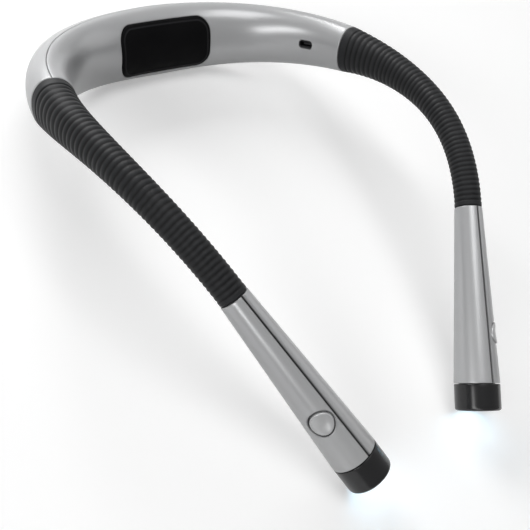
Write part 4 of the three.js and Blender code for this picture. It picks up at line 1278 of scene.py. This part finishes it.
@dataclass
class BendableArm:
    """One arm: a ribbed rubber sleeve over its core, and the lead inside, each built in stretches, one over
    each joint.

    The ribs' pitch is a share of the section's half width and half height together, and their depth
    a share of its half width.
    """

    side: Side
    rib_pitch: float = 0.19
    rib_depth: float = 0.038
    rib_samples: int = 12
    least_ribs: int = 3
    around: int = 72
    cuff_round: float = 0.4
    stiff_cuff: float = 1.5
    stiff_seam: float = 0.2

    def build(self) -> None:
        """Builds the sleeve's stretches and the lead's, one over each joint, and bakes each one's placement.
        """
        word = self.side.word
        for k in range(1, SHAPE.joints + 1):
            leg = finer(np.stack([self.lead_seam(k - 1), ARM.pivots[k], self.lead_seam(k)]), 1.0, False)
            lead_node = f"{word}_arm_lead" if k == 1 else ""
            for name, form, finish, node in (
                (f"{word}_sleeve_ribs_{k}", self.stretch(k), SLEEVE_RUBBER, f"{word}_sleeve_stretch_{k}"),
                (f"{word}_lead_bend_{k}", wire(leg, LEAD_R), INSULATION, lead_node),
            ):
                self.bend(add_piece(name, form, finish, self.side, node=node), k)
        self.lead_ends()

    def bend(self, piece: Piece, k: int) -> None:
        """Bakes the placement of a piece over a joint into its mesh.

        Args:
            piece: the piece.
            k: the joint, counted from 1; not used.
        """
        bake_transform(piece)

    def cuff(self, kind: Cuff) -> tuple[Array, Array]:
        """Distances from the sleeve's end over its rounded edge and smooth cuff to the first rib.

        The crest there is 1 - smooth(1 - (l - d) / f), with l the cuff's length and f its fade.

        Args:
            kind: sizes of the cuff.

        Returns:
            The distances, and the crest at each.
        """
        reach = kind.length - SHAPE.gap / 2
        joins = np.linspace(kind.run, reach, kind.joins)[1:-1]
        off = np.concatenate([over_edge(self.cuff_round, 6), np.linspace(0.7, kind.run, kind.points), joins])
        return off, 1 - smooth(1 - (reach - off) / kind.fade)

    def stretch(self, k: int) -> Form:
        """One stretch of ribs: the outline drawn in by d (1 - c), with the crest c = |sin(pi t)|^1.5.

        Over each rib t goes from 0 to 1.

        Args:
            k: the joint that it bends over, counted from 1.

        Returns:
            The form, a wall closed at both ends, with a value "valley" of painted shade between the ribs.
        """
        start, end = float(ARM.ends[k - 1]), float(ARM.ends[k])
        first = start + BAND_CUFF.length if k == 1 else start
        last = end - HEAD_CUFF.length if k == SHAPE.joints else end
        half_width, half_height, _ = LINE.section((first + last) / 2)
        ribs = max(round((last - first) / (self.rib_pitch * (half_width + half_height))), self.least_ribs)
        s = np.linspace(first, last, ribs * self.rib_samples + 1)
        crest = np.abs(np.sin((s - first) / (last - first) * ribs * HALF_TURN)) ** 1.5
        to_edge = np.full(len(s), np.inf)
        if k == 1:
            start += SHAPE.gap / 2
            off, rise = self.cuff(BAND_CUFF)
            s, crest = np.concatenate([start + off, s]), np.concatenate([rise, crest])
            to_edge = s - start
        if k == SHAPE.joints:
            end -= SHAPE.gap / 2
            off, rise = self.cuff(HEAD_CUFF)
            s, crest = np.concatenate([s, (end - off)[::-1]]), np.concatenate([crest, rise[::-1]])
            to_edge = end - s
        inset = LINE.section(s)[0] * self.rib_depth * (1 - crest) + rounded_drop(to_edge, self.cuff_round)
        angle = ring_angles(self.around, 0.5)
        grid_s, grid_angle = np.meshgrid(s, angle, indexing="ij")
        outside = LINE.frames(grid_s).point(*LINE.outline(grid_s, grid_angle, inset[:, None]))
        bore_s = np.array([end, ARM.joint_places[k - 1], start])
        frames, turn = LINE.frames(bore_s), angle[:, None]
        arms = np.cos(turn) * frames.out[:, None] + np.sin(turn) * frames.up[:, None]
        bore = ARM.core_centre(bore_s)[:, None] + (ARM.core_radius(k) + ARM.sleeve_play) * arms
        rings = np.concatenate([outside, bore])
        # Painted shade: the colour darkens with "valley" down between the ribs and in the bore.
        valley = np.repeat(np.concatenate([1 - crest, np.ones(len(bore_s))]), self.around)
        quads = grid_faces(len(rings), self.around, True, True)
        return Form(rings.reshape(-1, 3), quads, values={"valley": valley})

    def lead_seam(self, k: int) -> Array:
        """Where the lead's piece over joint k ends, on the link that follows it.

        Args:
            k: the joint, or 0 for the arm's root.

        Returns:
            The point.
        """
        if k == SHAPE.joints:
            return ARM.head.place
        lengths = np.diff(ARM.ends)
        share = lengths[k - 1] / (lengths[k - 1] + lengths[k]) if k else 0.5
        return ARM.pivots[k] + (ARM.pivots[k + 1] - ARM.pivots[k]) * share

    def lead_ends(self) -> None:
        """Builds the lead's two ends: in the band from the control board, and in the head to the lamp."""
        word, mirror = self.side.word, np.array([self.side.value, 1, 1])
        # In the band each row is the distance along it and x and y there. The left lead passes over the cell.
        lift, over, half = -0.9, 11.1, SHAPE.band_half
        if self.side is Side.RIGHT:
            rows = [(88, 0, lift), (95.8, 0, lift / 2)]
        else:
            rows = [(73.5, -2, lift), (68.5, -1, lift), (half * 0.58, 0, over * 0.5)]
            rows += [(s, 1, over) for s in np.linspace(46.4, -46.4, 8)]
            rows += [(-half * 0.62, 0, over * 0.7), (-80.5, 0, over / 4), (-95.8, 0, 0)]
        route = np.concatenate([inside_band(rows), [ARM.pivots[0] * mirror]])
        line = np.concatenate([through(route, LEAD_STEP), [self.lead_seam(0) * mirror]])
        add_piece(f"{word}_lead_in_band", wire(line, LEAD_R), INSULATION, body="band")
        # In the head each row is the distance up and ahead from its start.
        head = ARM.head
        rows = np.array([[0, 0], [0, ARM.last_back + 10], [-2.4, 26], [-2.4, 52], [-2.4, 68.6]])
        route = head.place + head.up * rows[:, :1] + head.ahead * rows[:, 1:]
        form = wire(through(route, LEAD_STEP), LEAD_R)
        add_piece(f"{word}_lead_in_head", form, INSULATION, self.side, f"{word}_head")


# The lamp heads


@dataclass
class LampHead:
    """One lamp head: two half shells, the push button, and the cap with its reflector and lens."""

    side: Side
    root_r: float = 5.5
    end_r: float = 9.0
    mean_r: float = 7.2
    wall: float = 1.4
    parting: float = math.radians(65)
    edge_round: float = 0.95
    end_round: float = 0.35
    rows: int = 84
    columns: int = 66
    fine_half: float = 7.0
    fine_step: float = 0.35
    least_step: float = 0.015
    button_angle: float = math.radians(20)
    button_place: float = 52.0
    button_r: float = 4.3
    button_proud: float = 0.5
    button_round: float = 0.45
    button_sides: int = 96
    dish: float = 0.28
    well_play: float = 0.5
    flange_r: float = 5.2
    flange_thick: float = 0.8
    flange_round: float = 0.15
    plunger_r: float = 1.4
    plunger_step: float = 0.4
    plunger_end: float = 4.75
    cap_proud: float = 0.05
    spigot_length: float = 4.0
    spigot_wall: float = 0.8
    lens_r: float = 7.0
    lens_sunk: float = 0.5
    lens_thick: float = 1.6
    lens_dome: float = 0.4
    cup_back: float = 3.0
    cup_neck_r: float = 2.6
    cup_wall: float = 0.35
    cup_power: float = 0.42
    sides: int = 128

    def radius(self, z: Array) -> Array:
        """The cone's radius at a distance along the head."""
        return self.root_r + (self.end_r - self.root_r) * np.asarray(z) / SHAPE.head_length

    def build(self) -> None:
        """Builds and dresses the head's pieces."""
        self.shell(1, "button")
        self.shell(-1, "plain")
        self.button()
        self.turned_pieces()

    def add(self, name: str, form: Form, finish: Finish | LampGlass, node: str, body: str = "head") -> None:
        """Adds a piece that is drawn in the head's own frame.

        Args:
            name: name of the piece, less the side's word.
            form: the form.
            finish: its finish.
            node: the solid that it stands for, less the side's word.
            body: the body that it rides on, less the side's word.
        """
        head, word = ARM.head, self.side.word
        form.points = head.place + form.points @ np.stack([head.out, head.up, head.ahead])
        add_piece(f"{word}_{name}", form, finish, self.side, f"{word}_{body}", f"{word}_{node}")

    def shell(self, half: int, kind: str) -> None:
        """Builds one half shell, which parts from the other along a line down the head.

        Args:
            half: 1 carries the button, -1 doesn't.
            kind: the half's word in the names of its piece and node.
        """
        middle = self.parting - half * QUARTER_TURN
        shift = np.array([math.cos(middle), math.sin(middle)]) * SHAPE.gap / 2
        half_way, half_length = SHAPE.head_length / 2, (SHAPE.head_length - SHAPE.gap) / 2

        def place(z: Array, angle: Array, inset: Array) -> Array:
            """A point ((r - i) cos a, (r - i) sin a, z), moved off the parting plane by half the gap."""
            r = self.radius(z) - inset
            return np.stack([r * np.cos(angle) + shift[0], r * np.sin(angle) + shift[1], z], -1)

        def drop(z: Array, angle: Array) -> Array:
            """The drop of the rounded parting edges and ends.

            Args:
                z: distances along the head.
                angle: angles about its axis.

            Returns:
                How far the surface drops, the larger of the two.
            """
            to_parting = np.abs(self.radius(z) * np.cos(angle - middle))
            to_end = half_length - np.abs(z - half_way)
            parting_drop = rounded_drop(to_parting, self.edge_round)
            return np.maximum(parting_drop, rounded_drop(to_end, self.end_round))

        def to_plane(z: Array, angle: Array) -> Array:
            """Distance along the head and distance aside of the button's line."""
            aside = np.clip(angle - self.button_angle, -QUARTER_TURN, QUARTER_TURN)
            return np.stack([z, self.radius(z) * np.sin(aside)], -1)

        def from_plane(plane: Array) -> tuple[Array, Array]:
            """The distance along the head and the angle whose sine is y / r from the button's line."""
            z, y = plane.T
            return z, self.button_angle + np.arcsin(np.clip(y / self.radius(z), -1, 1))

        rows, wells = half_way + stations(half_length, self.end_round * CLOSING, self.rows), []
        if half > 0:
            ends = self.button_place - self.fine_half, self.button_place + self.fine_half
            rows = np.union1d(rows, np.arange(*ends, self.fine_step))
            well_r = self.button_r + self.well_play
            wells = [Opening((self.button_place, 0.0), (0.0, 0.0), well_r, rounding=0.35, margin=0.3)]
        rows = rows[np.concatenate([[True], np.diff(rows) > self.least_step])]
        angles = middle + stations(QUARTER_TURN, self.edge_round * PARTING / self.mean_r, self.columns)
        shell = Shell(rows, angles, self.wall, place, drop, to_plane, from_plane, wells)
        self.add(f"head_{kind}_side", shell.form(), SILVER, f"head_{kind}_shell")

    def button(self) -> None:
        """Builds the button, which follows the cone: x = sqrt((r(z) - i)^2 - y^2) over rings in y and z.

        Its profile is a list of ring radius and inset i: a dished top, a rounded rim, the side, the
        flange that holds it under the shell, and the plunger, whose end is flat.
        """
        top, under = -self.button_proud, self.wall + SHAPE.gap
        flange, edge = under + self.flange_thick, self.button_round
        rho = np.linspace(0.25, self.button_r - 0.5, 16)
        dish = top + self.dish * (1 - smooth(rho / (self.button_r - 0.4)))
        rim = np.linspace(0, QUARTER_TURN, 8)
        profile = np.concatenate([
            np.stack([rho, dish], -1),
            np.stack([self.button_r - edge * (1 - np.sin(rim)), top + edge * (1 - np.cos(rim))], -1),
            filleted([
                (self.button_r, 0.2, 0), (self.button_r, under, 0),
                (self.flange_r, under, self.flange_round), (self.flange_r, flange, self.flange_round),
                (self.plunger_r, flange, 0), (self.plunger_r, flange + self.plunger_step, 0),
            ], False),
        ])
        turn = ring_angles(self.button_sides)
        y, z = profile[:, :1] * np.cos(turn), profile[:, :1] * np.sin(turn)
        x = np.sqrt(np.maximum((self.radius(self.button_place + z) - profile[:, 1:]) ** 2 - y**2, 0))
        foot = self.plunger_r * np.stack([np.cos(turn), np.sin(turn)], -1)
        foot = np.insert(foot, 0, self.plunger_end, -1)
        poles = np.zeros((2, 3))
        poles[:, 0] = float(self.radius(self.button_place)) - top - self.dish, self.plunger_end
        form = capped(np.concatenate([np.stack([x, y, z], -1), foot[None]]), poles)
        c, s = math.cos(self.button_angle), math.sin(self.button_angle)
        turned = np.array([[c, s, 0], [-s, c, 0], [0, 0, 1]])
        form.points = form.points @ turned + np.array([0, 0, self.button_place])
        self.add("push_button", form, BUTTON_SILVER, "button", "button")

    def turned_pieces(self) -> None:
        """Builds the cap, the lens and the reflector, which are turned about the head's axis.

        The reflector's radius grows with the share t of its depth as its neck's plus t^p times the rest.
        """
        gap, lens_r, wall = SHAPE.gap, self.lens_r, self.cup_wall
        start, face = SHAPE.head_length + gap / 2, SHAPE.head_length + SHAPE.cap_length
        cap_r, spigot_z = self.end_r + self.cap_proud, SHAPE.head_length - self.spigot_length
        spigot_r = float(self.radius(spigot_z)) - self.wall - gap
        bore = spigot_r - self.spigot_wall
        lens_top = face - self.lens_sunk
        seat = lens_top - self.lens_thick
        cap = filleted([
            (bore, spigot_z, 0.15), (spigot_r, spigot_z, 0.2), (spigot_r, start, 0), (cap_r, start, 0.3),
            (cap_r, face, 1.05), (lens_r + gap, face, 0.35), (lens_r + gap, seat - gap, 0),
            (bore, seat - gap, 0.1),
        ], True, 8)
        self.add("cap_ring", revolve(finer(cap, 1.2, True), self.sides, True), CAP_BLACK, "lamp_cap")
        out = np.linspace(lens_r - 0.3, 0, 20)
        dome = np.stack([out, lens_top - self.lens_dome * (out / lens_r) ** 2], -1)
        back = np.stack([np.linspace(0, lens_r - 0.2, 12), np.full(12, seat)], -1)
        side = np.array([[lens_r, seat + 0.2], [lens_r, lens_top - 0.7], [lens_r - 0.1, lens_top - 0.5]])
        glass = revolve(np.concatenate([back, side, dome]), self.sides, False)
        glass.values["middle"] = smooth(1 - np.hypot(glass.points[:, 0], glass.points[:, 1]) / lens_r)
        self.add("lamp_lens", glass, LampGlass(), "lens")
        share = np.linspace(0, 1, 24)
        deep = spigot_z + self.cup_back
        height = deep + (seat - gap - deep) * share
        inner = self.cup_neck_r + (bore - gap - wall - self.cup_neck_r) * share**self.cup_power
        outer = np.minimum(inner + wall * (2 - share), bore - gap)
        sheet = np.concatenate([np.stack([inner, height], -1), np.stack([outer, height], -1)[::-1]])
        self.add("plated_cup", revolve(sheet, self.sides, True), CHROME, "reflector")


# What the frame brings along


class KeptNode(Enum):
    """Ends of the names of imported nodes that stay, with their finishes."""

    CORE = ("core_link", NYLON)
    HEAD_LINK = ("head_link", NYLON)
    ROOT = ("arm_root", NYLON)
    SCREW = ("band_screw", STEEL)
    SOCKET = ("charge_socket", DARK_NICKEL)
    SWITCH = ("tact_switch", STEEL)
    CELL = ("battery_cell", POUCH)
    EMITTER = ("led_emitter", PHOSPHOR)
    BOARD = ("board", BOARD)


def dress_kept_nodes(nodes: dict[str, Piece]) -> None:
    """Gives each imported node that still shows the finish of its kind.

    Args:
        nodes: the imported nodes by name.
    """
    for name, node in nodes.items():
        if node.hide_render:
            continue
        finish = next((finish for mark, finish in (kind.value for kind in KeptNode) if mark in name), None)
        if finish is None:
            LOG.warning("%s has no finish", name)
            continue
        for slot in node.material_slots:
            slot.material = paint(finish)
        LOG.info("%s keeps its solid, in %s", name, finish.name)


# The studio


@dataclass(frozen=True)
class SoftLamp:
    """An area light: where it hangs, where it points, its size in metres and its power in watts."""

    name: str
    place: Triple
    aim: Triple
    size: Pair
    power: float

    def hang(self) -> None:
        """Hangs the light."""
        data = bpy.data.lights.new(self.name, "AREA")
        data.shape = "RECTANGLE"
        data.size, data.size_y = self.size
        data.energy = self.power
        lamp = bpy.data.objects.new(self.name, data)
        lamp.location = self.place
        lamp.rotation_euler = (Vector(self.aim) - Vector(self.place)).to_track_quat("-Z", "Y").to_euler()
        bpy.context.scene.collection.objects.link(lamp)


@dataclass
class Studio:
    """A pale floor, soft light from above and behind, and the camera where the photograph has it."""

    camera_place: Triple = (-0.18142216, -0.13788791, 0.24717076)
    camera_right: Triple = (0.79785086, -0.52447139, 0.29726043)
    camera_up: Triple = (0.29018239, 0.76631603, 0.57319624)
    lens: float = 51.60
    floor_half: float = 4.0
    floor_level: float = -0.00002
    floor_colour: Triple = (0.8, 0.8, 0.8)
    floor_shade: Triple = (0.788, 0.788, 0.788)
    bounce_colour: Triple = (0.03, 0.03, 0.03)
    floor_glow: float = 0.34
    world_level: float = 0.06
    horizon_level: float = 0.37
    lamps: tuple[SoftLamp, ...] = (
        SoftLamp("overhead", (0, 0, 1.3), (0, 0, 0), (0.8, 0.8), 6.0),
        SoftLamp("left_strip", (-1.1, -0.5, 0.68), (0, 0, 0), (1.3, 0.3), 6.8),
        SoftLamp("right_side", (1.2, 0, 0.6), (0, 0, 0), (1.0, 0.8), 1.5),
        SoftLamp("back", (0, 1.2, 0.6), (0, 0, 0), (0.8, 0.5), 11.0),
    )

    def build(self) -> None:
        """Builds the whole studio."""
        self.floor()
        self.world()
        for lamp in self.lamps:
            lamp.hang()
        self.camera()

    def floor(self) -> None:
        """Lays the floor: a wide flat sheet with a faint unevenness in its colour."""
        side = np.linspace(-self.floor_half, self.floor_half, 9)
        x, y = np.meshgrid(side, side, indexing="ij")
        points = np.stack([x, y, np.full_like(x, self.floor_level)], -1).reshape(-1, 3)
        mesh = bpy.data.meshes.new("studio_floor")
        mesh.from_pydata(points.tolist(), [], grid_faces(*x.shape)[:, ::-1].tolist())
        mesh.update()
        sheet = bpy.data.objects.new("studio_floor", mesh)
        bpy.context.scene.collection.objects.link(sheet)
        desk = MaterialDesk("studio_floor")
        seen = desk.seen()
        colour = desk.blend(desk.noise(3), self.floor_colour, self.floor_shade)
        mesh.materials.append(desk.shaded(
            Base_Color=desk.blend(seen, self.bounce_colour, colour), Emission_Color=(1, 1, 1),
            Emission_Strength=desk.spread(seen, 0, self.floor_glow, 0, 1),
            Roughness=0.75, Specular_IOR_Level=0.2,
        ))

    def world(self) -> None:
        """Fills the room with a faint even light, and with a pale grey wherever it is seen."""
        world = bpy.data.worlds.new("studio_air")
        bpy.context.scene.world = world
        world.use_nodes = True
        desk = Desk(world.node_tree)
        level = desk.put("MapRange", Value=desk.seen(), To_Min=self.world_level, To_Max=self.horizon_level)
        desk.feed(desk.nodes["Background"], Color=(1, 1, 1), Strength=level.outputs["Result"])

    def camera(self) -> None:
        """Sets the camera up from its place and its right and up directions."""
        data = bpy.data.cameras.new("photo_camera")
        data.lens, data.sensor_width, data.sensor_fit = self.lens, 36, "HORIZONTAL"
        data.clip_start, data.clip_end = 0.01, 20
        right, up = Vector(self.camera_right).normalized(), Vector(self.camera_up).normalized()
        back = right.cross(up).normalized()
        up = back.cross(right)
        turn = Matrix((right, up, back)).transposed()
        camera = bpy.data.objects.new("photo_camera", data)
        camera.matrix_world = Matrix.Translation(Vector(self.camera_place)) @ turn.to_4x4()
        bpy.context.scene.collection.objects.link(camera)
        bpy.context.scene.camera = camera


def main() -> None:
    """Builds the light and its studio."""
    logging.basicConfig(level=logging.INFO, format="%(message)s")
    bpy.context.scene.view_settings.view_transform = "Standard"
    Studio().build()
    Band().build()
    for side in Side:
        BendableArm(side).build()
        LampHead(side).build()
    dress_kept_nodes(frame["nodes"])


if __name__ == "__main__":
    main()
